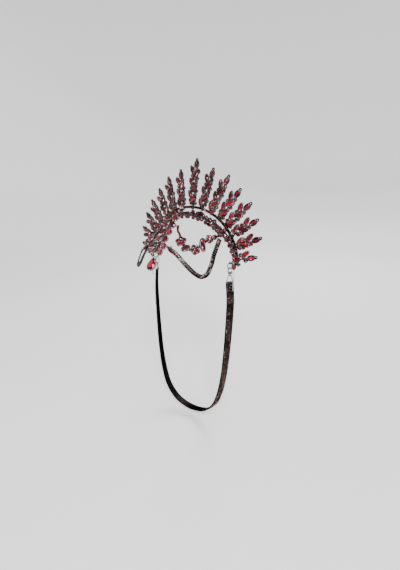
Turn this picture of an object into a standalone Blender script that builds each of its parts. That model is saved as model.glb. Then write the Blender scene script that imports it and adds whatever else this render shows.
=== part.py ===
"""Bridal halo crown: fifteen jewelled sprays on a halo wire, a brow band, a frontlet with a pear pendant,
side garlands and swags, and a chin strap that closes with a lobster clasp.

Lengths below are in millimetres, and angles in degrees; meshes are turned into metres where they are made.
+Z is up, the wearer looks along -Y, and the wearer's left is +X. The origin is under the middle of the brow
band, where the crown sits on the head. A piece's own frame has X along it, Y to its left as seen from the
front, and Z out of its face."""

import math

import bmesh
import bpy
from mathutils import Matrix, Vector

MM = 0.001
GAP = 0.3  # between two pieces that touch

# Halo: a fan that leans back and bows round the head
HALO_LEAN = 8.6
HALO_BOW = 0.0008  # set back per square millimetre from the middle
HALO_Y = -1.8
HALO_Z = -79.8
WIRE_RADIUS = 88.6
WIRE_RISE = 4.0  # the wire's circle is centred this far above the fan's centre
WIRE_THICK = 2.6
WIRE_END = 86.0
WIRE_STEPS = 32
COLLAR_BORE = 3.8
COLLAR_OUTER = 5.8
COLLAR_LENGTH = 3.0

# Sprays, from the middle one outwards: angle from upright, radius of the tip from the fan's centre
SPRAYS = [
    (0.0, 166.0),
    (12.0, 154.0),
    (23.0, 152.0),
    (33.5, 145.0),
    (44.0, 141.4),
    (54.5, 136.0),
    (65.5, 130.0),
    (77.0, 118.0),
]
SPRAY_PITCH = 18.5
ROOT_CLEAR = 2.4  # no stone but the collar's reaches below this height over the wire
ROOT_LIFT = 4.5  # stones that are too low by up to this much are lifted clear, lower ones left out
TIP_LENGTH = 15.5
TIP_WIDTH = 7.6
STEM_WIDTH = 1.8
STEM_LOW = -0.7
STEM_HIGH = 0.4
# Stones of one level of a spray: distance below the tip, to the left, turn, length, width
LEVEL = [
    (17.0, 6.8, 28.0, 14.0, 6.2),
    (17.8, -2.2, 0.0, 5.0, 5.0),
    (26.5, 0.0, -50.0, 15.0, 7.8),
]
ROOT_STONE = (10.0, 7.0)  # the large stone over the collar of the outermost sprays

# Set stones: heights over the plate they stand on
SET_LOW = -2.4
SET_GIRDLE = 0.9
SET_TABLE = 2.2
SET_FOOT_INSET = 0.7
TABLE_SHARE = 0.42  # inset of the table, as a share of the half width
SMALL_STONE = 5.0  # rounds up to this size have six sides, larger ones eight

# Brow band: half an ellipse that tips forward towards its top
BAND_HALF_WIDTH = 81.0
BAND_RISE = 60.0
BAND_TIP_FORWARD = 7.0
BAND_HEIGHT = 4.8
BAND_THICK = 1.8
BAND_LIFT = 1.8  # its stones stand forward by this much
BAND_STEPS = 22
# Stones of one half of the band: angle from the top, outwards, turn from the band's run, length, width
BAND_STONES = [
    (4.5, 0.4, 0.0, 6.0, 6.0),
    (11.5, -0.8, 0.0, 6.0, 6.0),
    (19.0, 4.0, -8.0, 12.0, 6.4),
    (20.5, -3.2, 0.0, 5.4, 5.4),
    (31.0, 1.8, 0.0, 6.4, 6.4),
    (33.0, -4.6, 20.0, 11.0, 5.6),
    (57.5, -1.0, 0.0, 7.4, 7.4),
    (67.0, 0.0, 0.0, 5.4, 5.4),
    (76.0, 0.0, 0.0, 5.4, 5.4),
]
BAND_FLOWER = (46.5, -2.6, 12.6)
END_WIRE_ANGLE = 83.8  # where the end plate's collar holds the wire
END_CORNER_X = 80.6  # the plate's run down from the band's end

# Frontlet: y and z down the middle of the forehead, from the band to the first row
FRONTLET_TOP = [(-1.9, 3.0), (-10.0, 3.2), (-21.0, 2.4)]
FRONTLET_WIDTH = 3.0
FRONTLET_THICK = 1.4
ARM_WIDTH = 1.8  # of the arms from the spine to its cups
HOOK_WIDTH = 1.0
# Rows from the top: y, z of the spine, then for the marquise on the wearer's right and the pear on the left
# how far out they sit, their turn, length and width
FRONT_ROWS = [
    (-33.2, -3.8, 5.6, -26.0, 10.4, 6.0, 5.6, 36.0, 10.4, 8.0),
    (-39.8, -12.6, 5.6, -42.0, 10.8, 6.2, 6.0, 36.0, 10.6, 8.2),
    (-47.8, -21.6, 5.8, -46.0, 11.0, 6.2, 6.2, 38.0, 10.8, 8.4),
    (-56.3, -30.6, 6.2, -46.0, 11.2, 6.4, 6.4, 38.0, 11.0, 8.6),
    (-63.2, -39.6, 10.6, -52.0, 15.0, 6.4, 9.4, 40.0, 11.2, 8.6),
    (-69.0, -47.4, 7.6, -56.0, 13.0, 6.2, 7.6, 44.0, 10.6, 8.2),
]
FRONTLET_END = (-70.0, -48.8)
CUP_WALL = 0.6
CUP_FOOT = -1.4
CUP_FLOOR = -0.2
CUP_RIM = 1.2
CUP_LIFT = 1.6  # cups stand off the spine by this much, so that the rows meet without touching
STONE_GIRDLE = 1.3
STONE_TOP = 2.9

# Pendant: a framed pear on a jump ring, leaning on the forehead
PENDANT_LEAN = 32.5
PENDANT_LENGTH = 19.5
PENDANT_WIDTH = 13.5
PENDANT_RIM = 1.2
EYE_RADIUS = 1.5
EYE_WIRE = 0.45
PENDANT_RING_RADIUS = 2.1
PENDANT_RING_WIRE = 0.42

# The head that the garlands and swags lie on: centre and half axes, for the way that their faces turn
HEAD_CENTRE = (0.0, 12.0, -95.0)
HEAD_HALF = (76.0, 95.0, 85.0)

# Garland on the wearer's left: its run, from the frontlet back to the band
GARLAND = [
    (16.6, -42.2, -19.0),
    (21.6, -43.8, -24.6),
    (28.0, -49.2, -31.8),
    (38.2, -50.8, -40.3),
    (47.0, -44.2, -43.2),
    (51.5, -29.0, -36.0),
    (53.2, -15.0, -29.8),
    (55.4, -7.0, -28.6),
]
GARLAND_WIRE = 1.5
# Stones on it: share of the run, to the side, turn, length, width; flowers: share of the run, size
GARLAND_STONES = [
    (0.405, -0.4, 60.0, 11.0, 6.6),
    (0.675, -2.4, 80.0, 14.5, 6.4),
    (0.700, 3.6, 0.0, 6.0, 6.0),
    (0.93, 0.0, 0.0, 5.6, 5.6),
]
GARLAND_FLOWERS = [(0.265, 13.0), (0.535, 11.0), (0.83, 9.0)]

# Swag of two-row cup chain on the wearer's left
SWAG = [
    (24.0, -65.6, -43.1),
    (30.0, -64.8, -46.0),
    (36.0, -63.2, -51.4),
    (42.0, -60.8, -58.4),
    (52.0, -55.8, -69.5),
    (57.1, -51.8, -74.7),
    (61.7, -46.2, -78.4),
    (65.6, -38.0, -75.3),
    (66.2, -29.0, -63.0),
    (64.0, -20.5, -51.6),
    (61.6, -9.5, -40.6),
]
SWAG_WIDTH = 6.8
SWAG_END_WIDTH = 2.4
SWAG_THICK = 2.0
SWAG_STEPS = 22
# Stirrups that their end links pass through: one under the band's flower, two on each side of the frontlet
STIRRUP_BAR = 1.0
STIRRUP_LEG = 1.0
HANGER = (58.4, -27.6)  # x and z of its bar
HANGER_HALF_WIDTH = 3.3
HANGER_HOLDS = (-1.7, 1.5)  # the garland's link and the swag's, from its middle
EAR_HALF_WIDTH = 1.6
GARLAND_EAR = (2, 12.8)  # row of the frontlet, and how far out its bar is
SWAG_EAR = (5, 16.8)
END_LINK_RADIUS = 1.9
END_LINK_WIRE = 0.42

# Ends: rings, clasp and strap loops hang under the end plates; turns are azimuths that a link faces,
# from the front towards the wearer's left
END_X = 73.8
END_Y = 7.0
END_EYE_Z = -65.9
END_EYE_RADIUS = 1.9
RING_RADIUS = 4.3
LINK_WIRE = 0.65
RING_TURN = 70.0
CLASP_TURN = -5.0
STRAP_TURN = 60.0
CLASP_HALF_WIDTH = 3.3
CLASP_HALF_HEIGHT = 4.1
CLASP_WIRE = 0.85
CLASP_CHEEK = 1.9
CLASP_EYE_RADIUS = 1.6
CLASP_EYE_WIRE = 0.5
LEVER_THICK = 1.0
LEVER_WIDTH = 1.1
LEVER_PIN = 0.5
LEVER_WALL = 0.5
LEVER_HINGE = (1.7, -3.4)  # from the middle of the clasp's oval
CLASP_TIP_ANGLE = 72.0  # the hook ends here, measured from the top of the oval
LEVER_TOP_ANGLE = 89.0
OVAL_HALF_WIDTH = 3.2
LOOP_HALF_WIDTH = 5.2
LOOP_HEIGHT = 11.5
DROP_EYE = (82.6, 3.2, -62.4)
DROP_EYE_RADIUS = 1.4
DROP_WIRE = 0.45
DROP_LENGTH = 9.5
DROP_WIDTH = 6.2

# Chin strap: x and z of its left half, from the loop to the lowest point under the chin
STRAP_RUN = [
    (73.8, -96.6),
    (75.6, -122.0),
    (75.0, -148.0),
    (73.2, -180.0),
    (70.6, -215.0),
    (66.6, -250.0),
    (60.0, -282.0),
    (50.0, -307.0),
    (34.0, -323.5),
    (17.0, -330.5),
    (0.0, -332.5),
]
STRAP_TWIST = 30.0  # its face turns to the front by this much at the upper ends
STRAP_WIDTH = 12.8
STRAP_THICK = 2.0
STRAP_STEPS = 18


def vec_mix(a, b, share):
    return a + (b - a) * share


def frame_of(origin, along, face):
    """A piece's own frame; face is squared up to along."""
    x = along.normalized()
    z = (face - x * face.dot(x)).normalized()
    y = z.cross(x)
    m = Matrix((x, y, z)).transposed().to_4x4()
    m.translation = origin
    return m


def spot(frame, along, left, turn=0.0, up=0.0):
    """A frame moved within another frame's face, and turned about its normal."""
    return frame @ Matrix.Translation((along, left, up)) @ Matrix.Rotation(math.radians(turn), 4, "Z")


def mirrored(solids):
    """The same solids for the wearer's other side."""
    out = []
    for verts, faces in solids:
        flipped = [Vector((-p.x, p.y, p.z)) for p in verts]
        out.append((flipped, [tuple(reversed(face)) for face in faces]))
    return out


def catmull(points, steps):
    """Evenly numbered points of a smooth curve through the given ones."""
    pts = [Vector(p) for p in points]
    pts = [pts[0] * 2 - pts[1]] + pts + [pts[-1] * 2 - pts[-2]]
    spans = len(pts) - 3
    out = []
    for i in range(steps + 1):
        t = i / steps * spans
        k = min(int(t), spans - 1)
        f = t - k
        a, b, c, d = pts[k : k + 4]
        square = a * 2 - b * 5 + c * 4 - d
        cube = b * 3 - a - c * 3 + d
        out.append(0.5 * (b * 2 + (c - a) * f + square * f * f + cube * f**3))
    return out


def along_run(points, share):
    """Point and direction at a share of a polyline's length."""
    lengths = [(b - a).length for a, b in zip(points, points[1:])]
    left = share * sum(lengths)
    for a, b, size in zip(points, points[1:], lengths):
        if left <= size:
            return vec_mix(a, b, left / size), (b - a).normalized()
        left -= size
    return points[-1], (points[-1] - points[-2]).normalized()


# Outlines of stones, in the plane of their face

def marquise_outline(length, width):
    upper = [(1.0, 0.0), (0.58, 0.66), (0.0, 1.0), (-0.58, 0.66)]
    pairs = upper + [(-a, -b) for a, b in upper]
    return [(a * length / 2, b * width / 2) for a, b in pairs]


def round_outline(length, width):
    count = 8 if length > SMALL_STONE else 6
    angles = [2 * math.pi * (i + 0.5) / count for i in range(count)]
    return [(math.cos(a) * length / 2, math.sin(a) * width / 2) for a in angles]


def pear_outline(length, width, count=8):
    """Point at +X, round end at -X."""
    out = []
    for i in range(count):
        a = 2 * math.pi * i / count
        x = math.cos(a)
        out.append((x * length / 2, math.sin(a) * width / 2 * (1 - 0.30 * x - 0.12 * x * x)))
    return out


def flower_outline(size, petals=5, points=3):
    out = []
    for i in range(petals * points):
        a = 2 * math.pi * i / (petals * points)
        r = size / 2 * (0.9 + 0.1 * math.cos(petals * a))
        out.append((math.cos(a) * r, math.sin(a) * r))
    return out


def stone_outline(length, width):
    return round_outline(length, width) if length < 1.3 * width else marquise_outline(length, width)


# Solids: lists of points in millimetres and faces

def stack(frame, outline, levels, point=None):
    """Rings of one outline, each (inset, height), closed at both ends; point is a lower tip's height."""
    half_a = max(abs(p[0]) for p in outline)
    half_b = max(abs(p[1]) for p in outline)
    count = len(outline)
    verts = []
    for inset, height in levels:
        for a, b in outline:
            verts.append(frame @ Vector((a * (1 - inset / half_a), b * (1 - inset / half_b), height)))
    faces = []
    for k in range(len(levels) - 1):
        low, high = k * count, (k + 1) * count
        faces += [(low + i, low + (i + 1) % count, high + (i + 1) % count, high + i) for i in range(count)]
    faces.append(tuple(range((len(levels) - 1) * count, len(levels) * count)))
    if point is None:
        faces.append(tuple(reversed(range(count))))
    else:
        verts.append(frame @ Vector((0, 0, point)))
        faces += [((i + 1) % count, i, len(verts) - 1) for i in range(count)]
    return verts, faces


def set_stone(frame, length, width, lift=0.0):
    """A stone with table and crown facets; its setting tapers to a point behind."""
    levels = [(0.0, SET_GIRDLE + lift), (TABLE_SHARE * width / 2, SET_TABLE + lift)]
    return stack(frame, stone_outline(length, width), levels, SET_LOW + lift)


def set_flower(frame, size):
    petals = stack(frame, flower_outline(size), [(0.0, SET_GIRDLE), (size * 0.14, SET_TABLE)], SET_LOW)
    top = SET_TABLE + 1.3
    middle = round_outline(size * 0.42, size * 0.42)
    heart = stack(frame, middle, [(0.0, top - 0.8), (size * 0.09, top)], SET_GIRDLE)
    return [petals, heart]


def cup(frame, outline):
    """An open setting: floor, wall and rim."""
    levels = [(SET_FOOT_INSET, CUP_FOOT), (0.0, CUP_RIM), (CUP_WALL, CUP_RIM), (CUP_WALL, CUP_FLOOR)]
    return stack(frame, outline, levels)


def cut_stone(frame, outline, low, girdle, high, table):
    """A loose stone: foot, girdle and table, held clear of its cup's wall."""
    levels = [(CUP_WALL + GAP + 0.5, low), (CUP_WALL + GAP, girdle), (table, high)]
    return stack(frame, outline, levels)


def bar(frame, start, end, width, low, high):
    """A flat bar between two places in the frame's face."""
    a, b = Vector(start), Vector(end)
    run = (b - a).normalized()
    side = Vector((-run.y, run.x)) * width / 2
    corners = [a - side, b - side, b + side, a + side]
    verts = [frame @ Vector((p.x, p.y, h)) for h in (low, high) for p in corners]
    faces = [(3, 2, 1, 0), (4, 5, 6, 7), (0, 1, 5, 4), (1, 2, 6, 5), (2, 3, 7, 6), (3, 0, 4, 7)]
    return verts, faces


def sweep(sections, closed=False):
    """Rings of points joined into a tube, with capped ends unless it closes on itself."""
    count = len(sections[0])
    verts = [p for ring in sections for p in ring]
    total = len(sections)
    faces = []
    for k in range(total if closed else total - 1):
        low, high = k * count, (k + 1) % total * count
        faces += [(low + i, low + (i + 1) % count, high + (i + 1) % count, high + i) for i in range(count)]
    if not closed:
        faces.append(tuple(reversed(range(count))))
        faces.append(tuple(range((total - 1) * count, total * count)))
    return verts, faces


def wire(points, thick, sides, closed=False, face=None):
    """A round wire along points; face is a direction that its sides keep to."""
    sections = []
    last = len(points) - 1
    for i, p in enumerate(points):
        before = points[i - 1] if i or closed else p
        after = points[(i + 1) % len(points)] if i < last or closed else p
        run = (after - before).normalized()
        ref = face if face else Vector((0, 1, 0))
        u = (ref - run * ref.dot(run)).normalized()
        v = run.cross(u)
        angles = [2 * math.pi * (k + 0.5) / sides for k in range(sides)]
        sections.append([p + (u * math.cos(a) + v * math.sin(a)) * thick / 2 for a in angles])
    return sweep(sections, closed)


def ring(centre, normal, radius, wire_radius, count=12, sides=6):
    """A round link; one of its corners is its lowest point."""
    n = normal.normalized()
    down = (Vector((0, 0, -1)) + n * n.z).normalized()
    side = n.cross(down)
    angles = [2 * math.pi * i / count for i in range(count)]
    points = [centre + (down * math.cos(a) + side * math.sin(a)) * radius for a in angles]
    return wire(points, wire_radius * 2, sides, closed=True, face=n)


def flat_strip(points, faces_out, width, thick, end_width=None):
    """A flat strip of rectangular section; faces_out is its outward direction at each point."""
    sections = []
    for i, p in enumerate(points):
        run = (points[min(i + 1, len(points) - 1)] - points[max(i - 1, 0)]).normalized()
        out = (faces_out[i] - run * faces_out[i].dot(run)).normalized()
        side = out.cross(run)
        at_end = end_width and i in (0, len(points) - 1)
        w, t = side * (end_width if at_end else width) / 2, out * thick / 2
        sections.append([p - w - t, p + w - t, p + w + t, p - w + t])
    return sweep(sections)


def collar(centre, axis, bore, outer, length, count=6):
    """A short tube round a wire."""
    n = axis.normalized()
    u = n.orthogonal().normalized()
    v = n.cross(u)
    angles = [2 * math.pi * (i + 0.5) / count for i in range(count)]
    spokes = [u * math.cos(a) + v * math.sin(a) for a in angles]
    sections = []
    for width, end in ((bore, -1), (outer, -1), (outer, 1), (bore, 1)):
        middle = centre + n * end * length / 2
        sections.append([middle + spoke * width / 2 for spoke in spokes])
    return sweep(sections, closed=True)


# Meshes and objects

def mesh_of(name, solids):
    mesh = bpy.data.meshes.new(name)
    bm = bmesh.new()
    for verts, faces in solids:
        made = [bm.verts.new(p * MM) for p in verts]
        for face in faces:
            bm.faces.new([made[i] for i in face])
    bmesh.ops.recalc_face_normals(bm, faces=bm.faces)
    bm.to_mesh(mesh)
    bm.free()
    return mesh


def united(name, solids, cuts=()):
    """One closed body from solids that run into each other, less the cuts."""
    base = bpy.data.objects.new(name, mesh_of(name, solids[:1]))
    bpy.context.scene.collection.objects.link(base)
    helpers = []
    for operation, group in (("UNION", solids[1:]), ("DIFFERENCE", list(cuts))):
        if not group:
            continue
        other = bpy.data.objects.new(name + "_" + operation.lower(), mesh_of(name, group))
        bpy.context.scene.collection.objects.link(other)
        modifier = base.modifiers.new(operation.lower(), "BOOLEAN")
        modifier.operation = operation
        modifier.object = other
        modifier.use_self = True
        helpers.append(other)
    graph = bpy.context.evaluated_depsgraph_get()
    mesh = bpy.data.meshes.new_from_object(base.evaluated_get(graph))
    bm = bmesh.new()
    bm.from_mesh(mesh)
    bmesh.ops.remove_doubles(bm, verts=bm.verts, dist=0.002 * MM)
    bmesh.ops.dissolve_degenerate(bm, edges=bm.edges, dist=0.002 * MM)
    bmesh.ops.triangulate(bm, faces=bm.faces)
    bm.to_mesh(mesh)
    bm.free()
    for helper in helpers + [base]:
        bpy.data.objects.remove(helper)
    return mesh


def piece(name, mesh, finish, parent=None):
    """A named sub-part with its material."""
    obj = bpy.data.objects.new(name, mesh)
    bpy.context.scene.collection.objects.link(obj)
    mesh.materials.clear()
    mesh.materials.append(finish)
    if parent:
        obj.parent = parent
        obj.matrix_parent_inverse = Matrix.Translation(-parent.location)
    return obj


def pivot(name, place):
    """An empty on a joint's axis."""
    empty = bpy.data.objects.new(name, None)
    bpy.context.scene.collection.objects.link(empty)
    empty.location = place * MM
    return empty


def material(name, colour, roughness, metallic):
    mat = bpy.data.materials.new(name)
    mat.use_nodes = True
    shader = mat.node_tree.nodes["Principled BSDF"]
    shader.inputs["Base Color"].default_value = (*colour, 1.0)
    shader.inputs["Roughness"].default_value = roughness
    shader.inputs["Metallic"].default_value = metallic
    return mat


# Halo

def halo_point(u, v):
    lean = math.radians(HALO_LEAN)
    return Vector((u, v * math.sin(lean) + HALO_BOW * u * u + HALO_Y, v * math.cos(lean) + HALO_Z))


def wire_point(angle):
    a = math.radians(angle)
    return halo_point(WIRE_RADIUS * math.sin(a), WIRE_RISE + WIRE_RADIUS * math.cos(a))


def halo_wire():
    points = [wire_point(-WIRE_END + 2 * WIRE_END * i / WIRE_STEPS) for i in range(WIRE_STEPS + 1)]
    return mesh_of("halo_wire", [wire(points, WIRE_THICK, 6)])


def spray_frame(angle, tip_radius):
    """Frame at the root on the wire, and the length to the tip."""
    a = math.radians(angle)
    root_radius = WIRE_RISE * math.cos(a) + math.sqrt(WIRE_RADIUS**2 - (WIRE_RISE * math.sin(a)) ** 2)
    root = halo_point(root_radius * math.sin(a), root_radius * math.cos(a))
    tip = halo_point(tip_radius * math.sin(a), tip_radius * math.cos(a))
    lean = math.radians(HALO_LEAN)
    across = Vector((1, 2 * HALO_BOW * root.x, 0))
    up = Vector((0, math.sin(lean), math.cos(lean)))
    return frame_of(root, tip - root, across.cross(up)), (tip - root).length


def spray(name, angle, tip_radius, outermost):
    frame, length = spray_frame(angle, tip_radius)
    foot, top = (COLLAR_OUTER / 2 - 0.6, 0), (length - TIP_LENGTH / 2, 0)
    solids = [bar(frame, foot, top, STEM_WIDTH, STEM_LOW, STEM_HIGH)]
    solids.append(set_stone(spot(frame, length - TIP_LENGTH / 2, 0), TIP_LENGTH, TIP_WIDTH))
    drop = 0.0
    while LEVEL[0][0] + drop < length:
        for below, left, turn, size, width in LEVEL:
            along = length - below - drop
            low = along - size / 2 * math.cos(math.radians(turn))
            if low < ROOT_CLEAR - ROOT_LIFT:
                continue
            along += max(0.0, ROOT_CLEAR - low)
            solids.append(set_stone(spot(frame, along, left, turn), size, width))
            if left > STEM_WIDTH:
                start, end = (along - 1.0, 0), (along, left)
                solids.append(bar(frame, start, end, STEM_WIDTH * 0.8, STEM_LOW + 0.15, STEM_HIGH - 0.15))
        drop += SPRAY_PITCH
    on_wire = math.degrees(math.asin(frame.translation.x / WIRE_RADIUS))
    tangent = wire_point(on_wire + 2) - wire_point(on_wire - 2)
    solids.append(collar(frame.translation, tangent, COLLAR_BORE, COLLAR_OUTER, COLLAR_LENGTH))
    if outermost:
        solids.append(set_stone(spot(frame, 0.4, 0.0, 10.0), *ROOT_STONE, lift=COLLAR_OUTER / 2 + 1.2))
    return united(name, solids)


# Brow band

def band_frame(angle, outwards=0.0, turn=0.0):
    """Frame on the band's front face: X along its run, towards the wearer's left."""
    t = math.radians(angle)
    point = Vector((BAND_HALF_WIDTH * math.sin(t), BAND_TIP_FORWARD * (1 - math.cos(t)), 0))
    point.z = BAND_RISE * (math.cos(t) - 1) + BAND_HEIGHT / 2
    run = Vector((BAND_HALF_WIDTH * math.cos(t), BAND_TIP_FORWARD * math.sin(t), -BAND_RISE * math.sin(t)))
    face = Vector((0, -BAND_RISE, -BAND_TIP_FORWARD))
    return spot(frame_of(point, run, face), 0.0, outwards, turn)


def brow_band():
    frames = [band_frame(-90 + 180 * i / BAND_STEPS) for i in range(BAND_STEPS + 1)]
    face = frames[0].to_3x3() @ Vector((0, 0, 1))
    strip = flat_strip([f.translation for f in frames], [face] * len(frames), BAND_HEIGHT, BAND_THICK)
    half = []
    for angle, outwards, turn, length, width in BAND_STONES:
        half.append(set_stone(band_frame(angle, outwards, turn), length, width, lift=BAND_LIFT))
        if abs(outwards) > BAND_HEIGHT / 2:
            half.append(bar(band_frame(angle), (0, 0), (0, outwards), 2.0, -0.5, 0.5))
    half += set_flower(spot(band_frame(BAND_FLOWER[0], BAND_FLOWER[1]), 0, 0, up=BAND_LIFT), BAND_FLOWER[2])
    half += end_plate()
    half.append(hanger())
    return united("brow_band", [strip] + half + mirrored(half))


def end_plate():
    """The plate that joins the band to the wire's end, with the eyes for the ring and the end drop."""
    wire_end = wire_point(END_WIRE_ANGLE)
    tangent = wire_point(END_WIRE_ANGLE + 1) - wire_point(END_WIRE_ANGLE - 1)
    band_end = band_frame(89.0).translation
    eye = Vector((END_X, END_Y, END_EYE_Z))
    solids = [collar(wire_end, tangent, COLLAR_BORE, COLLAR_OUTER + 0.6, COLLAR_LENGTH)]
    solids.append(ring(eye, turned(RING_TURN - 90), END_EYE_RADIUS, LINK_WIRE, 10, 5))
    corner = Vector((END_CORNER_X, band_end.y, wire_end.z))
    runs = (
        (band_end, corner, -1.5, 4.4, 0.8),
        (corner, wire_end, COLLAR_BORE / 2 + 0.5, 3.2, 0.9),
        (corner, eye, END_EYE_RADIUS - 0.1, 3.2, 0.7),
    )
    for start, end, reach, width, half in runs:
        plate = frame_of(start, end - start, turned(0))
        solids.append(bar(plate, (0, 0), ((end - start).length - reach, 0), width, -half, half))
    drop = Vector(DROP_EYE)
    solids.append(ring(drop, turned(90), DROP_EYE_RADIUS, DROP_WIRE, 10, 5))
    post = frame_of(drop, Vector((0, 1, 0)), Vector((0, 0, 1)))
    solids.append(bar(post, (DROP_EYE_RADIUS - 0.2, 0), (END_Y - drop.y, 0), 1.2, -0.5, 0.5))
    return solids


def turned(azimuth):
    """A level direction: 0 is the front, 90 the wearer's left."""
    a = math.radians(azimuth)
    return Vector((math.sin(a), -math.cos(a), 0))


# Frontlet

def front_spine():
    points = [Vector((0, y, z)) for y, z in FRONTLET_TOP]
    points += [Vector((0, row[0], row[1])) for row in FRONT_ROWS]
    return points + [Vector((0, *FRONTLET_END))]


def spine_face(run):
    """Outward normal of the spine, which stays in the middle plane."""
    return Vector((0, run.z, -run.y)).normalized()


def front_spots():
    """Frames of the cups, each with its stone's name, outline and turn; X runs down the spine."""
    points = front_spine()
    spots = []
    for number, row in enumerate(FRONT_ROWS, 1):
        k = len(FRONTLET_TOP) + number - 1
        run = points[k + 1] - points[k - 1]
        base = frame_of(points[k], run, spine_face(run))
        _, _, out_r, turn_r, length_r, width_r, out_l, turn_l, length_l, width_l = row
        marquise = marquise_outline(length_r, width_r)
        pear = pear_outline(length_l, width_l)
        spots.append((f"front_stone_r{number}", spot(base, 0, -out_r, turn_r, CUP_LIFT), marquise))
        spots.append((f"front_stone_l{number}", spot(base, 0, out_l, turn_l + 180, CUP_LIFT), pear))
    return spots


def pendant_down():
    a = math.radians(PENDANT_LEAN)
    return Vector((0, -math.sin(a), -math.cos(a)))


def front_eye():
    """Centre of the eye at the frontlet's lower end."""
    return Vector((0, *FRONTLET_END)) + pendant_down() * EYE_RADIUS


def stirrup(frame, reach, half_width, low, high):
    """Two legs and a bar across their ends, whose middle lies at reach along the frame's X."""
    far, near = reach + STIRRUP_BAR / 2, reach - STIRRUP_BAR / 2
    wide, clear = half_width + STIRRUP_LEG / 2, half_width - STIRRUP_LEG / 2
    outside = [(0, -wide), (far, -wide), (far, wide), (0, wide)]
    outline = outside + [(0, clear), (near, clear), (near, -clear), (0, -clear)]
    return stack(frame, outline, [(0.0, low), (0.0, high)])


def ear_frame(row, sign):
    """Frame at a row of the frontlet whose X points out to one side of it."""
    points = front_spine()
    k = len(FRONTLET_TOP) + row - 1
    face = spine_face(points[k + 1] - points[k - 1])
    return frame_of(points[k] + face * (CUP_LIFT + CUP_FLOOR - 0.6), Vector((sign, 0, 0)), face)


def end_link(bar_centre, bar_run, towards):
    """A link round a stirrup's bar that lies towards a point, and the place on it where a strand begins."""
    away = towards - bar_centre
    reach = (away - bar_run * away.dot(bar_run)).normalized()
    centre = bar_centre + reach * (END_LINK_RADIUS - END_LINK_WIRE - GAP - STIRRUP_BAR * 0.7)
    loop = ring_along(centre, bar_run, reach, END_LINK_RADIUS, END_LINK_WIRE)
    return loop, centre + reach * END_LINK_RADIUS


def strand_ends(ear, holds, inner):
    """The end links of a garland or swag on the wearer's left, and its run between them."""
    row, out = ear
    front = ear_frame(row, 1) @ Vector((out, 0, 0))
    back = Vector((HANGER[0] + holds, band_frame(BAND_FLOWER[0]).translation.y, HANGER[1]))
    first, start = end_link(front, ear_frame(row, 1).to_3x3() @ Vector((0, 1, 0)), Vector(inner[0]))
    last, end = end_link(back, Vector((1, 0, 0)), Vector(inner[-1]))
    return [start] + [Vector(p) for p in inner] + [end], [first, last]


def frontlet():
    points = front_spine()
    last = len(points) - 1
    faces = [spine_face(points[min(i + 1, last)] - points[max(i - 1, 0)]) for i in range(last + 1)]
    solids = [flat_strip(points, faces, FRONTLET_WIDTH, FRONTLET_THICK)]
    solids += [cup(frame, outline) for _, frame, outline in front_spots()]
    for k, row in enumerate(FRONT_ROWS, len(FRONTLET_TOP)):
        run = points[k + 1] - points[k - 1]
        base = frame_of(points[k], run, spine_face(run))
        low, high = FRONTLET_THICK / 2 - 0.5, CUP_LIFT + CUP_FLOOR - 0.4
        solids.append(bar(base, (0, -row[2]), (0, row[6]), ARM_WIDTH, low, high))
    for row, out in (GARLAND_EAR, SWAG_EAR):
        for sign in (1, -1):
            frame = ear_frame(row, sign) @ Matrix.Translation((FRONT_ROWS[row - 1][2], 0, 0))
            solids.append(stirrup(frame, out - FRONT_ROWS[row - 1][2], EAR_HALF_WIDTH, -0.45, 0.45))
    solids += frontlet_hook()
    run = points[-1] - points[-2]
    solids.append(ring_along(front_eye(), spine_face(run), pendant_down(), EYE_RADIUS, EYE_WIRE))
    return solids


def frontlet_hook():
    """Three bars that clasp the brow band from before, above and behind, without touching it."""
    face = band_frame(0).to_3x3() @ Vector((0, 0, 1))
    plane = frame_of(band_frame(0).translation, face, Vector((1, 0, 0)))
    reach = BAND_THICK / 2 + GAP
    top = BAND_HEIGHT / 2 + GAP
    half = FRONTLET_WIDTH / 2
    front, back = reach + 0.6, -reach - HOOK_WIDTH / 2
    over = -top - HOOK_WIDTH / 2
    return [
        bar(plane, (front, 0.9), (front, -top - 0.9), HOOK_WIDTH + 0.2, -half + 0.1, half - 0.1),
        bar(plane, (reach + 1.1, over), (-reach - 0.9, over), HOOK_WIDTH, -half + 0.2, half - 0.2),
        bar(plane, (back, -top - 0.8), (back, 1.0), HOOK_WIDTH, -half + 0.1, half - 0.1),
    ]


def ring_along(centre, normal, down, radius, wire_radius, count=10, sides=5):
    """A round link that hangs along down."""
    n = (normal - down * normal.dot(down)).normalized()
    side = n.cross(down)
    angles = [2 * math.pi * i / count for i in range(count)]
    points = [centre + (down * math.cos(a) + side * math.sin(a)) * radius for a in angles]
    return wire(points, wire_radius * 2, sides, closed=True, face=n)


# Pendant

def pendant_places():
    """Centres of the jump ring and the pendant's eye, and the frame of the pear, whose X points up."""
    down = pendant_down()
    reach = EYE_WIRE + PENDANT_RING_WIRE + GAP
    bar_centre = front_eye() + down * EYE_RADIUS
    ring_centre = bar_centre + down * (PENDANT_RING_RADIUS - reach)
    eye_centre = ring_centre + down * (PENDANT_RING_RADIUS - reach + EYE_RADIUS)
    face = Vector((0, down.z, -down.y))
    pear = frame_of(eye_centre + down * (EYE_RADIUS + PENDANT_LENGTH / 2 - 0.6), -down, face)
    return bar_centre, ring_centre, eye_centre, pear


def pendant_setting():
    _, _, eye_centre, pear = pendant_places()
    outline = pear_outline(PENDANT_LENGTH, PENDANT_WIDTH, 16)
    levels = [(1.2, -2.0), (0.0, -0.8), (0.0, 1.0), (PENDANT_RIM, 1.0), (PENDANT_RIM, -1.0)]
    eye = ring_along(eye_centre, pear.to_3x3() @ Vector((0, 0, 1)), pendant_down(), EYE_RADIUS, EYE_WIRE)
    return [stack(pear, outline, levels), eye]


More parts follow.
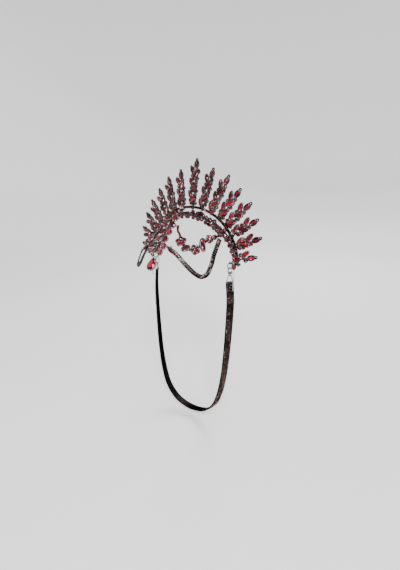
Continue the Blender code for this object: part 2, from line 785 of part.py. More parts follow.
def pendant_stone():
    pear = pendant_places()[3]
    outline = pear_outline(PENDANT_LENGTH, PENDANT_WIDTH, 16)
    edge = PENDANT_RIM + GAP
    levels = [(edge + 1.4, -0.7), (edge, 1.0), (edge, 1.4), (edge + 1.3, 2.8), (edge + 2.8, 3.4)]
    return stack(pear, outline, levels)


# Sides

def head_out(p):
    """Outward direction of the head's surface at a point near it."""
    c, h = HEAD_CENTRE, HEAD_HALF
    slopes = [(p[axis] - c[axis]) / h[axis] ** 2 for axis in range(3)]
    return Vector(slopes).normalized()


def garland():
    places, links = strand_ends(GARLAND_EAR, HANGER_HOLDS[0], GARLAND)
    run = catmull(places, 30)
    points = run[::2]
    solids = links + [flat_strip(points, [head_out(p) for p in points], GARLAND_WIRE, GARLAND_WIRE * 0.7)]
    for share, side, turn, length, width in GARLAND_STONES:
        point, along = along_run(run, share)
        base = frame_of(point, along, head_out(point))
        solids.append(set_stone(spot(base, 0, side, turn), length, width))
    for share, size in GARLAND_FLOWERS:
        point, along = along_run(run, share)
        solids += set_flower(frame_of(point, along, head_out(point)), size)
    return solids


def swag():
    places, links = strand_ends(SWAG_EAR, HANGER_HOLDS[1], SWAG)
    points = catmull(places, SWAG_STEPS)
    faces = [head_out(p) for p in points]
    return [flat_strip(points, faces, SWAG_WIDTH, SWAG_THICK, SWAG_END_WIDTH)] + links


def hanger():
    """The stirrup under the band's flower."""
    start = Vector((HANGER[0], band_frame(BAND_FLOWER[0]).translation.y, HANGER[1] + 10.0))
    return stirrup(frame_of(start, Vector((0, 0, -1)), turned(0)), 10.0, HANGER_HALF_WIDTH, -0.5, 0.5)


# Ends

def hung(z_above, wire_above, wire_below):
    """Height of the top wire of a link that hangs in the link above, whose lowest wire is at z_above."""
    return z_above + wire_above + wire_below + GAP


def end_heights():
    """Heights of the links at the wearer's left, from the end eye down."""
    ring_top = hung(END_EYE_Z - END_EYE_RADIUS, LINK_WIRE, LINK_WIRE)
    ring_z = ring_top - RING_RADIUS
    clasp_z = hung(ring_z - RING_RADIUS, LINK_WIRE, CLASP_WIRE) - CLASP_HALF_HEIGHT
    clasp_eye_z = clasp_z - CLASP_HALF_HEIGHT - 1.2 - CLASP_EYE_RADIUS + 0.2
    loop_top = hung(clasp_eye_z - CLASP_EYE_RADIUS, CLASP_EYE_WIRE, LINK_WIRE)
    return ring_z, clasp_z, clasp_eye_z, loop_top


def end_ring(sign):
    centre = Vector((sign * END_X, END_Y, end_heights()[0]))
    return ring(centre, turned(sign * RING_TURN), RING_RADIUS, LINK_WIRE, 12, 5)


def link_ring(sign):
    """The oval link that stands in for the clasp at the fixed end."""
    ring_z, _, _, loop_top = end_heights()
    top = hung(ring_z - RING_RADIUS, LINK_WIRE, LINK_WIRE)
    low = loop_top - 2 * LINK_WIRE - GAP
    half = (top - low) / 2
    across = turned(sign * CLASP_TURN + 90)
    angles = [2 * math.pi * i / 12 for i in range(12)]
    centre = Vector((sign * END_X, END_Y, (top + low) / 2))
    width = across * OVAL_HALF_WIDTH
    points = [centre + width * math.sin(a) + Vector((0, 0, math.cos(a) * half)) for a in angles]
    return wire(points, LINK_WIRE * 2, 5, closed=True, face=turned(sign * CLASP_TURN))


def strap_loop(sign):
    """A triangular wire loop, its point up."""
    top = end_heights()[3]
    across = turned(sign * (STRAP_TURN + 90))
    face = turned(sign * STRAP_TURN)
    half, low = LOOP_HALF_WIDTH, -LOOP_HEIGHT
    corners = [(0.0, 0.0), (2.0, -0.9), (half - 0.3, low + 1.6), (half, low + 0.6), (half - 0.7, low)]
    outline = corners + [(-a, z) for a, z in reversed(corners[1:])]
    centre = Vector((sign * END_X, END_Y, top))
    points = [centre + across * a + Vector((0, 0, z)) for a, z in outline]
    return wire(points, LINK_WIRE * 2, 5, closed=True, face=face)


def clasp_frame():
    """X to the side of the lever, Y up, Z out of the clasp's face."""
    origin = Vector((END_X, END_Y, end_heights()[1]))
    face = turned(CLASP_TURN)
    return frame_of(origin, Vector((0, 0, 1)).cross(face), face)


def clasp_arc(angle):
    """A place on the clasp's oval, measured from its top towards the lever."""
    a = math.radians(angle)
    return math.sin(a) * CLASP_HALF_WIDTH, math.cos(a) * CLASP_HALF_HEIGHT


def clasp_body():
    frame = clasp_frame()
    face = frame.to_3x3() @ Vector((0, 0, 1))
    angles = [-152 + (CLASP_TIP_ANGLE + 152) * i / 12 for i in range(13)]
    hook = [frame @ Vector((*clasp_arc(a), 0)) for a in angles]
    low, high = -CLASP_HALF_HEIGHT - 1.2, -CLASP_HALF_HEIGHT + 1.6
    middle = (low + high) / 2
    slot = LEVER_THICK / 2 + GAP
    solids = [wire(hook, CLASP_WIRE * 2, 6, face=face)]
    solids.append(bar(frame, (-2.5, middle), (-0.7, middle), high - low, -CLASP_CHEEK, CLASP_CHEEK))
    for start, end in ((slot, CLASP_CHEEK - 0.02), (-CLASP_CHEEK + 0.02, -slot)):
        solids.append(bar(frame, (-0.9, middle), (2.9, middle), high - low - 0.04, start, end))
    pin = frame @ Vector((*LEVER_HINGE, 0))
    pin_ends = [pin - face * (CLASP_CHEEK - 0.3), pin + face * (CLASP_CHEEK - 0.3)]
    solids.append(wire(pin_ends, LEVER_PIN * 2, 8, face=Vector((0, 0, 1))))
    eye = Vector((END_X, END_Y, end_heights()[2]))
    solids.append(ring(eye, face, CLASP_EYE_RADIUS, CLASP_EYE_WIRE, 10, 5))
    return solids


def clasp_lever():
    frame = clasp_frame()
    face = frame.to_3x3() @ Vector((0, 0, 1))
    hub = frame @ Vector((*LEVER_HINGE, 0))
    top = clasp_arc(LEVER_TOP_ANGLE)
    low = (CLASP_HALF_WIDTH - 0.1, -1.9)
    half = LEVER_THICK / 2
    bore = 2 * (LEVER_PIN + GAP)
    solids = [collar(hub, face, bore, bore + 2 * LEVER_WALL, LEVER_THICK, 8)]
    near_hub = (LEVER_HINGE[0] + 1.0, LEVER_HINGE[1] + 0.5)
    nub = (low[0] + 1.6, low[1] - 0.2)
    solids.append(bar(frame, near_hub, low, LEVER_WIDTH, -half + 0.02, half - 0.02))
    solids.append(bar(frame, (low[0], low[1] - 0.4), top, LEVER_WIDTH, -half, half))
    solids.append(bar(frame, (low[0], low[1] + 0.5), nub, LEVER_WIDTH + 0.1, -half - 0.1, half + 0.1))
    return solids


def end_drop():
    x, y, z = DROP_EYE
    upper = hung(z - DROP_EYE_RADIUS, DROP_WIRE, DROP_WIRE) - DROP_EYE_RADIUS
    middle = upper - DROP_EYE_RADIUS - DROP_LENGTH / 2 + 0.5
    frame = frame_of(Vector((x, y, middle)), Vector((0, 0, 1)), turned(0))
    eye = ring(Vector((x, y, upper)), turned(0), DROP_EYE_RADIUS, DROP_WIRE, 10, 5)
    return [set_stone(frame, DROP_LENGTH, DROP_WIDTH, lift=-SET_GIRDLE), eye]


# Chin strap

def strap_points():
    left = [Vector((x, END_Y, z)) for x, z in STRAP_RUN]
    right = [Vector((-p.x, p.y, p.z)) for p in reversed(left[:-1])]
    return catmull(left + right, STRAP_STEPS * 2)


def strap_faces(points):
    """Outward directions; they turn to the front towards the upper ends."""
    faces = []
    last = len(points) - 1
    for i in range(last + 1):
        run = (points[min(i + 1, last)] - points[max(i - 1, 0)]).normalized()
        twist = math.radians(STRAP_TWIST) * abs(1 - 2 * i / last)
        out = Vector((-run.z, 0, run.x))
        faces.append(out * math.cos(twist) + Vector((0, -1, 0)) * math.sin(twist))
    return faces


def chin_strap():
    points = strap_points()
    solids = [flat_strip(points, strap_faces(points), STRAP_WIDTH, STRAP_THICK)]
    for sign in (1, -1):
        low = Vector((sign * END_X, END_Y, end_heights()[3] - LOOP_HEIGHT))
        across = turned(sign * (STRAP_TURN + 90))
        bore = 2 * (LINK_WIRE + GAP) + 0.3
        solids.append(collar(low, across, bore, bore + 1.6, LOOP_HALF_WIDTH * 1.3))
    return solids


def build():
    for obj in list(bpy.data.objects):
        bpy.data.objects.remove(obj)
    gunmetal = material("gunmetal", (0.06, 0.06, 0.065), 0.3, 1.0)
    ruby = material("ruby", (0.35, 0.01, 0.04), 0.08, 0.0)
    chain = material("ruby_chain", (0.18, 0.01, 0.03), 0.2, 0.6)
    piece("halo_wire", halo_wire(), gunmetal)
    for number, (angle, tip_radius) in enumerate(SPRAYS):
        for side, sign in (("l", 1), ("r", -1)) if number else (("", 1),):
            name = f"spray_{side}{number}"
            piece(name, spray(name, sign * angle, tip_radius, number == len(SPRAYS) - 1), gunmetal)
    piece("brow_band", brow_band(), gunmetal)
    piece("frontlet", united("frontlet", frontlet()), gunmetal)
    for name, frame, outline in front_spots():
        width = 2 * max(b for _, b in outline)
        stone = cut_stone(frame, outline, CUP_FLOOR + GAP, STONE_GIRDLE, STONE_TOP, width * 0.36)
        piece(name, mesh_of(name, [stone]), ruby)

    bar_centre, ring_centre, _, _ = pendant_places()
    swing = pivot("pendant_pivot", bar_centre)
    level = Vector((1, 0, 0))
    loop = ring_along(ring_centre, level, pendant_down(), PENDANT_RING_RADIUS, PENDANT_RING_WIRE)
    piece("pendant_ring", mesh_of("pendant_ring", [loop]), gunmetal, swing)
    piece("pendant_setting", united("pendant_setting", pendant_setting()), gunmetal, swing)
    piece("pendant_stone", mesh_of("pendant_stone", [pendant_stone()]), ruby, swing)

    for side, flip in (("l", False), ("r", True)):
        for strand, solids, finish in (("garland", garland(), gunmetal), ("swag", swag(), chain)):
            name = f"{strand}_{side}"
            piece(name, united(name, mirrored(solids) if flip else solids), finish)
        drop = end_drop()
        piece(f"end_drop_{side}", united("end_drop", mirrored(drop) if flip else drop), gunmetal)
        sign = -1 if flip else 1
        piece(f"end_ring_{side}", mesh_of("end_ring", [end_ring(sign)]), gunmetal)
        piece(f"strap_loop_{side}", mesh_of("strap_loop", [strap_loop(sign)]), gunmetal)
    piece("link_ring_r", mesh_of("link_ring", [link_ring(-1)]), gunmetal)
    piece("clasp_body", united("clasp_body", clasp_body()), gunmetal)
    frame = clasp_frame()
    hinge = pivot("clasp_pivot", frame @ Vector((*LEVER_HINGE, 0)))
    piece("clasp_lever", united("clasp_lever", clasp_lever()), gunmetal, hinge)
    piece("chin_strap", united("chin_strap", chin_strap()), chain)


build()
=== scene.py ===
"""Looks of the bridal halo crown: cut stones in dark gunmetal settings, cup chains, links and clasp, on
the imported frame. Lengths are in millimetres until a mesh is made; angles are in degrees. A piece's own
frame has X along it, Y to its left as seen from the front, and Z out of its face."""

import math
import random

import bmesh
import bpy
from mathutils import Matrix, Vector


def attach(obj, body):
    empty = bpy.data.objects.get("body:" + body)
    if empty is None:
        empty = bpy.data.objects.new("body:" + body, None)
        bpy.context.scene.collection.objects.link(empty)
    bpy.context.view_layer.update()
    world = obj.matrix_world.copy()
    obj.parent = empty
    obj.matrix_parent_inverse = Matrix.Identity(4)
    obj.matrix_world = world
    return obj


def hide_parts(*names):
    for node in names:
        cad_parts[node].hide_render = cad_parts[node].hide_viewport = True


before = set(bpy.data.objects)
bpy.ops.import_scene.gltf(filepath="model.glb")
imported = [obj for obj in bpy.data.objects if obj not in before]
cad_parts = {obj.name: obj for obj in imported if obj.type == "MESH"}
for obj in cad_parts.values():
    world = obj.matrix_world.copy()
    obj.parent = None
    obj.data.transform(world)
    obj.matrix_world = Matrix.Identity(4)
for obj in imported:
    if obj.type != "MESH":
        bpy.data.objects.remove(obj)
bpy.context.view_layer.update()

MM = 0.001
GAP = 0.3
UP = Vector((0, 0, 1))
DOWN = Vector((0, 0, -1))
LEFT = Vector((1, 0, 0))

# Sizes that the solids share
HALO_LEAN = 8.6
HALO_BOW = 0.0008
HALO_Y = -1.8
HALO_Z = -79.8
WIRE_RADIUS = 88.6
WIRE_RISE = 4.0
WIRE_THICK = 2.6
WIRE_END = 86.0
COLLAR_OUTER = 5.8
# One half of the halo: a spray's angle from the top, and the radius that its tip reaches
SPRAYS = [
    (0.0, 166.0),
    (12.0, 154.0),
    (23.0, 152.0),
    (33.5, 145.0),
    (44.0, 141.4),
    (54.5, 136.0),
    (65.5, 130.0),
    (77.0, 118.0),
]
SPRAY_PITCH = 18.5
ROOT_CLEAR = 2.4
ROOT_LIFT = 4.5
TIP_LENGTH = 15.5
TIP_WIDTH = 7.6
# Stones of one level of a spray: distance below the tip, to the left, turn, length, width, lift, tone
LEVEL = [
    (17.0, 6.6, 28.0, 14.0, 6.2, 0.2, 0.35),
    (17.6, -2.4, 0.0, 5.4, 5.4, 0.0, 0.1),
    (26.5, 0.0, -43.0, 15.0, 7.8, 0.8, 0.40),
    (25.4, 6.4, 0.0, 5.0, 5.0, -0.4, 0.1),
    (20.6, 1.6, 0.0, 4.8, 4.8, -0.8, 0.2),
    (30.4, -3.8, 0.0, 4.6, 4.6, -0.6, 0.2),
]
ROOT_STONE = (10.0, 7.0)
STEM_THICK = 2.2
ARM_THICK = 1.7
# Turns of wire that make a collar: offset along the halo wire, radius
COLLAR_TURNS = [(-1.1, 2.05), (0.0, 2.296), (1.1, 2.05)]
COLLAR_WIRE = 0.62
TIP_TONE = 0.35
SIDE_PAINTED_LIGHT = 0.6  # painted light: how much clearer the sprays' stones are painted at the wearer's left than at the top, and duskier at the right

BAND_HALF_WIDTH = 81.0
BAND_RISE = 60.0
BAND_TIP_FORWARD = 7.0
BAND_HEIGHT = 4.8
BAND_THICK = 1.8
BAND_LIFT = 1.8
BAND_ROW_OFFSET = 1.25
# Stones of one half of the band: angle from the top, outwards, turn, length, width, tone
BAND_STONES = [
    (4.5, 0.4, 0.0, 6.0, 6.0, 0.3),
    (11.5, -0.8, 0.0, 6.0, 6.0, 0.45),
    (19.0, 4.0, -8.0, 12.0, 6.4, 0.95),
    (20.5, -3.2, 0.0, 5.4, 5.4, 0.5),
    (31.0, 1.8, 0.0, 6.4, 6.4, 0.7),
    (33.0, -4.6, 20.0, 11.0, 5.6, 0.85),
    (57.5, -1.0, 0.0, 7.4, 7.4, 1.0),
    (67.0, 0.0, 0.0, 5.4, 5.4, 0.35),
    (76.0, 0.0, 0.0, 5.4, 5.4, 0.45),
]
BAND_FLOWER = (46.5, -2.6, 12.6)
# Small rounds between them, that the solids leave out: angle, outwards, size, tone
BAND_SMALL = [
    (1.0, -4.1, 4.8, 0.3),
    (8.0, 4.1, 5.2, 0.4),
    (8.4, -4.5, 4.8, 0.2),
    (15.0, -4.9, 5.4, 0.5),
    (14.2, 3.3, 5.2, 0.2),
    (25.6, 1.3, 6.4, 0.4),
    (26.2, -5.5, 5.2, 0.3),
    (36.8, 3.5, 6.0, 0.6),
    (39.2, -6.1, 5.4, 0.4),
    (38.6, -1.9, 5.6, 0.2),
    (52.4, 3.7, 5.6, 0.5),
    (53.0, -5.5, 5.6, 0.8),
    (62.4, 3.5, 5.4, 0.4),
    (62.6, -3.3, 5.6, 0.7),
    (71.4, 3.1, 5.0, 0.3),
    (71.8, -3.3, 5.0, 0.5),
    (80.4, 2.9, 5.0, 0.6),
    (80.6, -2.9, 5.0, 0.2),
    (85.6, 0.0, 6.0, 0.5),
]
END_WIRE_ANGLE = 83.8
BAND_END_ANGLE = 89.0
END_CORNER_X = 80.6

FRONTLET_TOP = [(-1.9, 3.0), (-10.0, 3.2), (-21.0, 2.4)]
FRONTLET_WIDTH = 3.0
FRONTLET_THICK = 1.4
# The spine's Y and Z at a row, then for the marquise and for the pear beside it: distance from the
# spine, turn, length, width
FRONT_ROWS = [
    (-33.2, -3.8, 5.6, -26.0, 10.4, 6.0, 5.6, 36.0, 10.4, 8.0),
    (-39.8, -12.6, 5.6, -42.0, 10.8, 6.2, 6.0, 36.0, 10.6, 8.2),
    (-47.8, -21.6, 5.8, -46.0, 11.0, 6.2, 6.2, 38.0, 10.8, 8.4),
    (-56.3, -30.6, 6.2, -46.0, 11.2, 6.4, 6.4, 38.0, 11.0, 8.6),
    (-63.2, -39.6, 10.6, -52.0, 15.0, 6.4, 9.4, 40.0, 11.2, 8.6),
    (-69.0, -47.4, 7.6, -56.0, 13.0, 6.2, 7.6, 44.0, 10.6, 8.2),
]
FRONTLET_END = (-70.0, -48.8)
FRONT_GROWS = 1.7
SPINE_STONE = 4.4
SPINE_STONE_OFFSET = 3.4
CUP_FOOT = -1.4
CUP_FLOOR = -0.2
CUP_RIM = 1.2
CUP_LIFT = 1.6

PENDANT_LEAN = 32.5
PENDANT_LENGTH = 19.5
PENDANT_WIDTH = 13.5
PENDANT_WALL = (PENDANT_LENGTH + 1.2, PENDANT_WIDTH + 2.2)
EYE_RADIUS = 1.5
EYE_WIRE = 0.45
PENDANT_RING_RADIUS = 2.1
PENDANT_RING_WIRE = 0.42

# The rounded surface that the garlands and swags face away from
ROUND_CENTRE = (0.0, 12.0, -95.0)
ROUND_HALF = (76.0, 95.0, 85.0)
GARLAND = [
    (16.6, -42.2, -19.0),
    (21.6, -43.8, -24.6),
    (28.0, -49.2, -31.8),
    (38.2, -50.8, -40.3),
    (47.0, -44.2, -43.2),
    (51.5, -29.0, -36.0),
    (53.2, -15.0, -29.8),
    (55.4, -7.0, -28.6),
]
# Stones: share of the run, to the side, turn, length, width, tone; flowers: share of the run, size, tone
GARLAND_STONES = [
    (0.395, -0.4, 60.0, 13.0, 8.4, 0.15),
    (0.660, -1.8, 68.0, 16.5, 8.2, 0.85),
    (0.710, 4.2, 0.0, 7.4, 7.4, 1.0),
    (0.93, 0.0, 0.0, 7.0, 7.0, 0.6),
]
ORNAMENT_UP = 0.4  # share of the chain's upward look that its flowers and leaves keep
GARLAND_FLOWERS = [(0.265, 15.6, 0.8), (0.535, 14.6, 0.6), (0.83, 12.4, 0.6)]
SWAG = [
    (24.0, -65.6, -43.1),
    (30.0, -64.8, -46.0),
    (36.0, -63.2, -51.4),
    (42.0, -60.8, -58.4),
    (52.0, -55.8, -69.5),
    (57.1, -51.8, -74.7),
    (61.7, -46.2, -78.4),
    (65.6, -38.0, -75.3),
    (66.2, -29.0, -63.0),
    (64.0, -20.5, -51.6),
    (61.6, -9.5, -40.6),
]
SWAG_WIDTH = 6.8
STIRRUP_BAR = 1.0
HANGER = (58.4, -27.6)
HANGER_DROP = 10.0
HANGER_HALF_WIDTH = 3.3
HANGER_HOLDS = (-1.7, 1.5)
EAR_HALF_WIDTH = 1.6
GARLAND_EAR = (2, 12.8)
SWAG_EAR = (5, 16.8)
END_LINK_RADIUS = 1.9
END_LINK_WIRE = 0.42

END_X = 73.8
END_Y = 7.0
END_EYE_Z = -65.9
END_EYE_RADIUS = 1.9
RING_RADIUS = 4.3
LINK_WIRE = 0.65
RING_TURN = 70.0
CLASP_TURN = -5.0
STRAP_TURN = 60.0
CLASP_HALF_WIDTH = 3.3
CLASP_HALF_HEIGHT = 4.1
CLASP_WIRE = 0.85
CLASP_CHEEK = 1.9
CLASP_EYE_RADIUS = 1.6
CLASP_EYE_WIRE = 0.5
LEVER_THICK = 1.0
LEVER_PIN = 0.5
LEVER_WALL = 0.5
LEVER_HINGE = (1.7, -3.4)
CLASP_ROOT_ANGLE = -152.0
CLASP_TIP_ANGLE = 72.0
LEVER_TOP_ANGLE = 89.0
OVAL_HALF_WIDTH = 3.2
LOOP_HALF_WIDTH = 5.2
LOOP_HEIGHT = 11.5
DROP_EYE = (82.6, 3.2, -62.4)
DROP_EYE_RADIUS = 1.4
DROP_WIRE = 0.45
DROP_LENGTH = 9.5
DROP_WIDTH = 6.2
# The wire loop under the end drop: height, half width
TIE_LOOP = [
    (0.0, 0.0),
    (-0.5, 1.4),
    (-2.6, 2.6),
    (-6.5, 2.0),
    (-12.0, 0.9),
    (-24.0, 0.75),
    (-31.0, 0.7),
    (-32.0, 0.0),
]

STRAP_RUN = [
    (73.8, -96.6),
    (75.6, -122.0),
    (75.0, -148.0),
    (73.2, -180.0),
    (70.6, -215.0),
    (66.6, -250.0),
    (60.0, -282.0),
    (50.0, -307.0),
    (34.0, -323.5),
    (17.0, -330.5),
    (0.0, -332.5),
]
STRAP_TWIST = 30.0
STRAP_WIDTH = 12.8
STRAP_ROWS = 4
STRAP_WALL = 0.8

# Chains of stones: pitch, width of a cup, width of a stone, height of a cup
HALO_CHAIN = (4.3, 4.3, 4.3, 1.9)
BAND_CHAIN = (2.5, 2.4, 2.4, 1.2)
SPINE_CHAIN = (2.9, 2.8, 2.8, 1.3)
GARLAND_CHAIN = (3.7, 3.5, 3.4, 1.6)
SWAG_PITCH = 3.4
SWAG_CUP = 3.35
SWAG_STONES = (3.1, 2.9)
SWAG_CHAIN_HEIGHT = 1.8
STRAP_PITCH = 3.2
STRAP_STONE = 2.2
STRAP_CUP_HEIGHT = 1.8
STRAP_STONE_HEIGHT = 2.1
CHAIN_SEED = 3
CHAIN_BACK = 0.3  # polish of the plate behind the cups
STONE_LEAN = 0.3  # radians, at most, by which a chain's stones lean at random

# Camera at the photograph's angle
CAMERA_AZIMUTH = 38.8
CAMERA_HEIGHT = 5.1
CAMERA_PITCH = 8.5
CAMERA_REACH = 0.5599
CAMERA_FOCAL = 354.8  # in pixels of the 400 x 570 frame
CAMERA_AIM = (0.0, 0.012, -0.010)
PRINCIPAL = (192.7, 274.3)
FRAME_SIZE = (400, 570)
SENSOR = 36.0

# The floor, the wall that it rises into, and the lamps, all in metres
FLOOR_Z = -0.345
FLOOR_SIDES = 48
# Radius, and height above the floor
FLOOR_PROFILE = [(1.2, 0.0), (1.6, 0.06), (1.9, 0.25), (2.05, 0.6), (2.1, 2.6)]
PAPER = (0.88, 0.88, 0.88)
SKY_STRENGTH = 0.7
LAMP_AIM = (0, 0, -0.05)
# Name, place, size, power in watts
LAMPS = [
    ("key", (0.9, -1.0, 0.9), 0.4, 26.0),
    ("left", (-1.2, -0.9, 1.0), 0.5, 3.5),
    ("back", (-0.3, 1.3, 0.9), 0.8, 22.0),
    ("front", (0.5, -1.4, 0.2), 0.25, 8.0),
]


# Frames and paths

def circle(count, shift=0.0):
    """Angles of even steps round a circle; shift is a share of a step."""
    return [2 * math.pi * (i + shift) / count for i in range(count)]


def squared(vector, run):
    """The direction nearest to vector that is square to run."""
    return (vector - run * vector.dot(run)).normalized()


def runs_of(points, closed=False):
    """The direction of a line at each of its points."""
    before = [points[-1] if closed else points[0]] + points[:-1]
    after = points[1:] + [points[0] if closed else points[-1]]
    return [(b - a).normalized() for a, b in zip(before, after)]


def frame_of(origin, along, face):
    """A piece's own frame; face is squared up to along."""
    x = along.normalized()
    z = squared(face, x)
    y = z.cross(x)
    m = Matrix((x, y, z)).transposed().to_4x4()
    m.translation = origin
    return m


def spot(place, along, left, turn=0.0, up=0.0):
    """A frame moved within another frame's face, and turned about its normal."""
    moved = place @ Matrix.Translation((along, left, up))
    return moved @ Matrix.Rotation(math.radians(turn), 4, "Z")


def face_of(place):
    return place.to_3x3() @ UP


def catmull(points, steps):
    """Evenly numbered points of a smooth curve through the given ones."""
    pts = [Vector(p) for p in points]
    pts = [pts[0] * 2 - pts[1]] + pts + [pts[-1] * 2 - pts[-2]]
    spans = len(pts) - 3
    out = []
    for i in range(steps + 1):
        t = i / steps * spans
        k = min(int(t), spans - 1)
        f = t - k
        a, b, c, d = pts[k : k + 4]
        square = a * 2 - b * 5 + c * 4 - d
        cube = b * 3 - a - c * 3 + d
        out.append(0.5 * (b * 2 + (c - a) * f + square * f * f + cube * f**3))
    return out


def along_run(points, share):
    """Point and direction at a share of a polyline's length."""
    lengths = [(b - a).length for a, b in zip(points, points[1:])]
    left = share * sum(lengths)
    for a, b, size in zip(points, points[1:], lengths):
        if left <= size:
            return a.lerp(b, left / size), (b - a).normalized()
        left -= size
    return points[-1], (points[-1] - points[-2]).normalized()


def turned(azimuth):
    """A level direction: 0 is the front, 90 the wearer's left."""
    a = math.radians(azimuth)
    return Vector((math.sin(a), -math.cos(a), 0))


# Outlines of stones

def marquise_outline(length, width, steps=4):
    """Pointed at both ends, with steps points on each quarter."""
    out = []
    for a in circle(4 * steps):
        x, y = math.cos(a), math.sin(a)
        full = abs(x) ** 1.12
        out.append((math.copysign(full, x) * length / 2, y * (0.92 + 0.08 * abs(y)) * width / 2))
    return out


def round_outline(length, width, count=8):
    return [(math.cos(a) * length / 2, math.sin(a) * width / 2) for a in circle(count, 0.5)]


def pear_outline(length, width, count=16):
    """Point at +X, round end at -X."""
    out = []
    for a in circle(count):
        x = math.cos(a)
        out.append((x * length / 2, math.sin(a) * width / 2 * (1 - 0.30 * x - 0.12 * x * x)))
    return out


def stone_outline(length, width):
    """Round, or a marquise where it is clearly longer than wide."""
    if length < LONG_STONE * width:
        return round_outline(length, width, 8 if length < SMALL_STONE else 10)
    return marquise_outline(length, width, 3 if length < LARGE_STONE else 4)


def inset_outline(outline, inset):
    half_a = max(abs(p[0]) for p in outline)
    half_b = max(abs(p[1]) for p in outline)
    return [(a * (1 - inset / half_a), b * (1 - inset / half_b)) for a, b in outline]


# Work in hand: points, faces and what is noted for each face

SETTING_GROWS = 0.7  # past the outline of the solid
# Polish levels of metal faces; they also set how pale the plating is painted, and PALE and BRIGHT stand for
# rubbed plating and painted glints
DULL, MIDDLE, BACK, PALE, BRIGHT = 0.0, 0.12, 0.16, 0.55, 1.0
CLAW_GLINTS = 0.5  # share of claws that are painted bright: rubbed plating and painted glints
RIM_GLINTS = 0.35  # share of rims that are painted pale: rubbed plating and painted glints
FACET_GLINTS = 0.07  # share of facets that flash: painted nearly white as painted glints
# Ranges that the facets' painted light and shade, and the stones' tones, are drawn from
FACET_SHADES = ((0.1, 1.0), (0.4, 1.0), (0.0, 0.5), (0.0, 0.7))  # painted light and shade of kite, star and two girdle facets
TABLE_SHADES = (0.35, 0.95)
FOOT_SHADES = (0.0, 0.3)
TONE_SPREAD = (-0.2, 0.2)
STONE_DEPTHS = (0.495, 0.9)
LONG_STONE = 1.3  # a stone that is this many widths long is a marquise
SMALL_STONE = 5.2  # up to this size a stone has a short foot, thin claws and fewer facets
LARGE_STONE = 9.0  # from this length on a marquise has more facets
chance = random.Random(11)


class Work:
    """Solids of one finish, with notes on each face: how polished metal is, which also paints it paler as
    rubbed plating and painted glints, or a stone's tone and the painted light and shade of the facet.
    The last note says whether the face is smooth."""

    def __init__(self):
        self.points = []
        self.faces = []
        self.notes = []

    def add(self, points, faces, notes):
        base = len(self.points)
        self.points += points
        self.faces += [tuple(base + i for i in face) for face in faces]
        self.notes += notes if isinstance(notes, list) else [notes] * len(faces)

    def mirrored(self):
        """The same solids for the wearer's other side."""
        other = Work()
        other.points = [Vector((-p.x, p.y, p.z)) for p in self.points]
        other.faces = [tuple(reversed(face)) for face in self.faces]
        other.notes = list(self.notes)
        return other

    def merge(self, other):
        self.add(other.points, other.faces, other.notes)
        return self

    def mesh(self, name, names):
        """A closed mesh with its notes as named values on the faces."""
        mesh = bpy.data.meshes.new(name)
        bm = bmesh.new()
        layers = [bm.faces.layers.float.new(n) for n in names]
        made = [bm.verts.new(p * MM) for p in self.points]
        for face, note in zip(self.faces, self.notes):
            new = bm.faces.new([made[i] for i in face])
            for layer, value in zip(layers, note):
                new[layer] = value
            new.smooth = note[-1]
        bmesh.ops.recalc_face_normals(bm, faces=bm.faces)
        bm.to_mesh(mesh)
        bm.free()
        return mesh


def rings_of(place, outline, levels):
    """The outline at each level, which is an inset and a height."""
    rings = []
    for inset, height in levels:
        rings.append([place @ Vector((a, b, height)) for a, b in inset_outline(outline, inset)])
    return rings


def joined(rings, closed=False):
    """Points and faces of rings joined in a row, with capped ends unless it closes on itself."""
    count = len(rings[0])
    points = [p for ring in rings for p in ring]
    total = len(rings)
    faces = []
    for k in range(total if closed else total - 1):
        low, high = k * count, (k + 1) % total * count
        faces += [(low + i, low + (i + 1) % count, high + (i + 1) % count, high + i) for i in range(count)]
    if not closed:
        faces.append(tuple(reversed(range(count))))
        faces.append(tuple(range((total - 1) * count, total * count)))
    return points, faces


def stacked(work, place, outline, levels, polish_and_glint, ends=(BACK, DULL)):
    """A solid whose outline changes from level to level, with the polish of its walls and two ends, which
    also sets how pale they are painted for rubbed plating and painted glints.
    """
    points, faces = joined(rings_of(place, outline, levels))
    walls = [(value, False) for value in polish_and_glint for _ in outline]
    work.add(points, faces, walls + [(value, False) for value in ends])


def tube(work, points, thick, sides=8, closed=False, face=None, polish_and_glint=MIDDLE, taper=None):
    """A round wire along points; taper is the share of its thickness at each point."""
    rings = []
    for i, (p, run) in enumerate(zip(points, runs_of(points, closed))):
        u = squared(face or Vector((0, 1, 0)), run)
        v = run.cross(u)
        radius = thick / 2 * (taper[i] if taper else 1.0)
        rings.append([p + (u * math.cos(a) + v * math.sin(a)) * radius for a in circle(sides, 0.5)])
    made, faces = joined(rings, closed)
    work.add(made, faces, (polish_and_glint, True))


def link(work, centre, normal, down, radius, wire, polish_and_glint=MIDDLE, count=20, sides=8):
    """A round link that hangs along down."""
    n = squared(normal, down)
    side = n.cross(down)
    points = [centre + (down * math.cos(a) + side * math.sin(a)) * radius for a in circle(count)]
    tube(work, points, wire * 2, sides, True, n, polish_and_glint)


def sleeve(work, start, end, u, v, bore, wall, polish_and_glint):
    """A bored tube between two centres; u and v span its section."""
    rings = []
    for centre, radius in ((start, bore), (start, bore + wall), (end, bore + wall), (end, bore)):
        rings.append([centre + (u * math.cos(a) + v * math.sin(a)) * radius for a in circle(16)])
    points, faces = joined(rings, True)
    work.add(points, faces, (polish_and_glint, False))


def bead(work, place, size, top):
    """A small domed bead on a face."""
    rings = []
    for share, height in ((1.0, -0.3 * size), (1.0, 0.0), (0.72, 0.6 * top), (0.3, 0.95 * top)):
        ring = [(math.cos(a) * share * size / 2, math.sin(a) * share * size / 2) for a in circle(5)]
        rings.append([place @ Vector((x, y, height)) for x, y in ring])
    points, faces = joined(rings)
    work.add(points, faces, (BRIGHT, True))


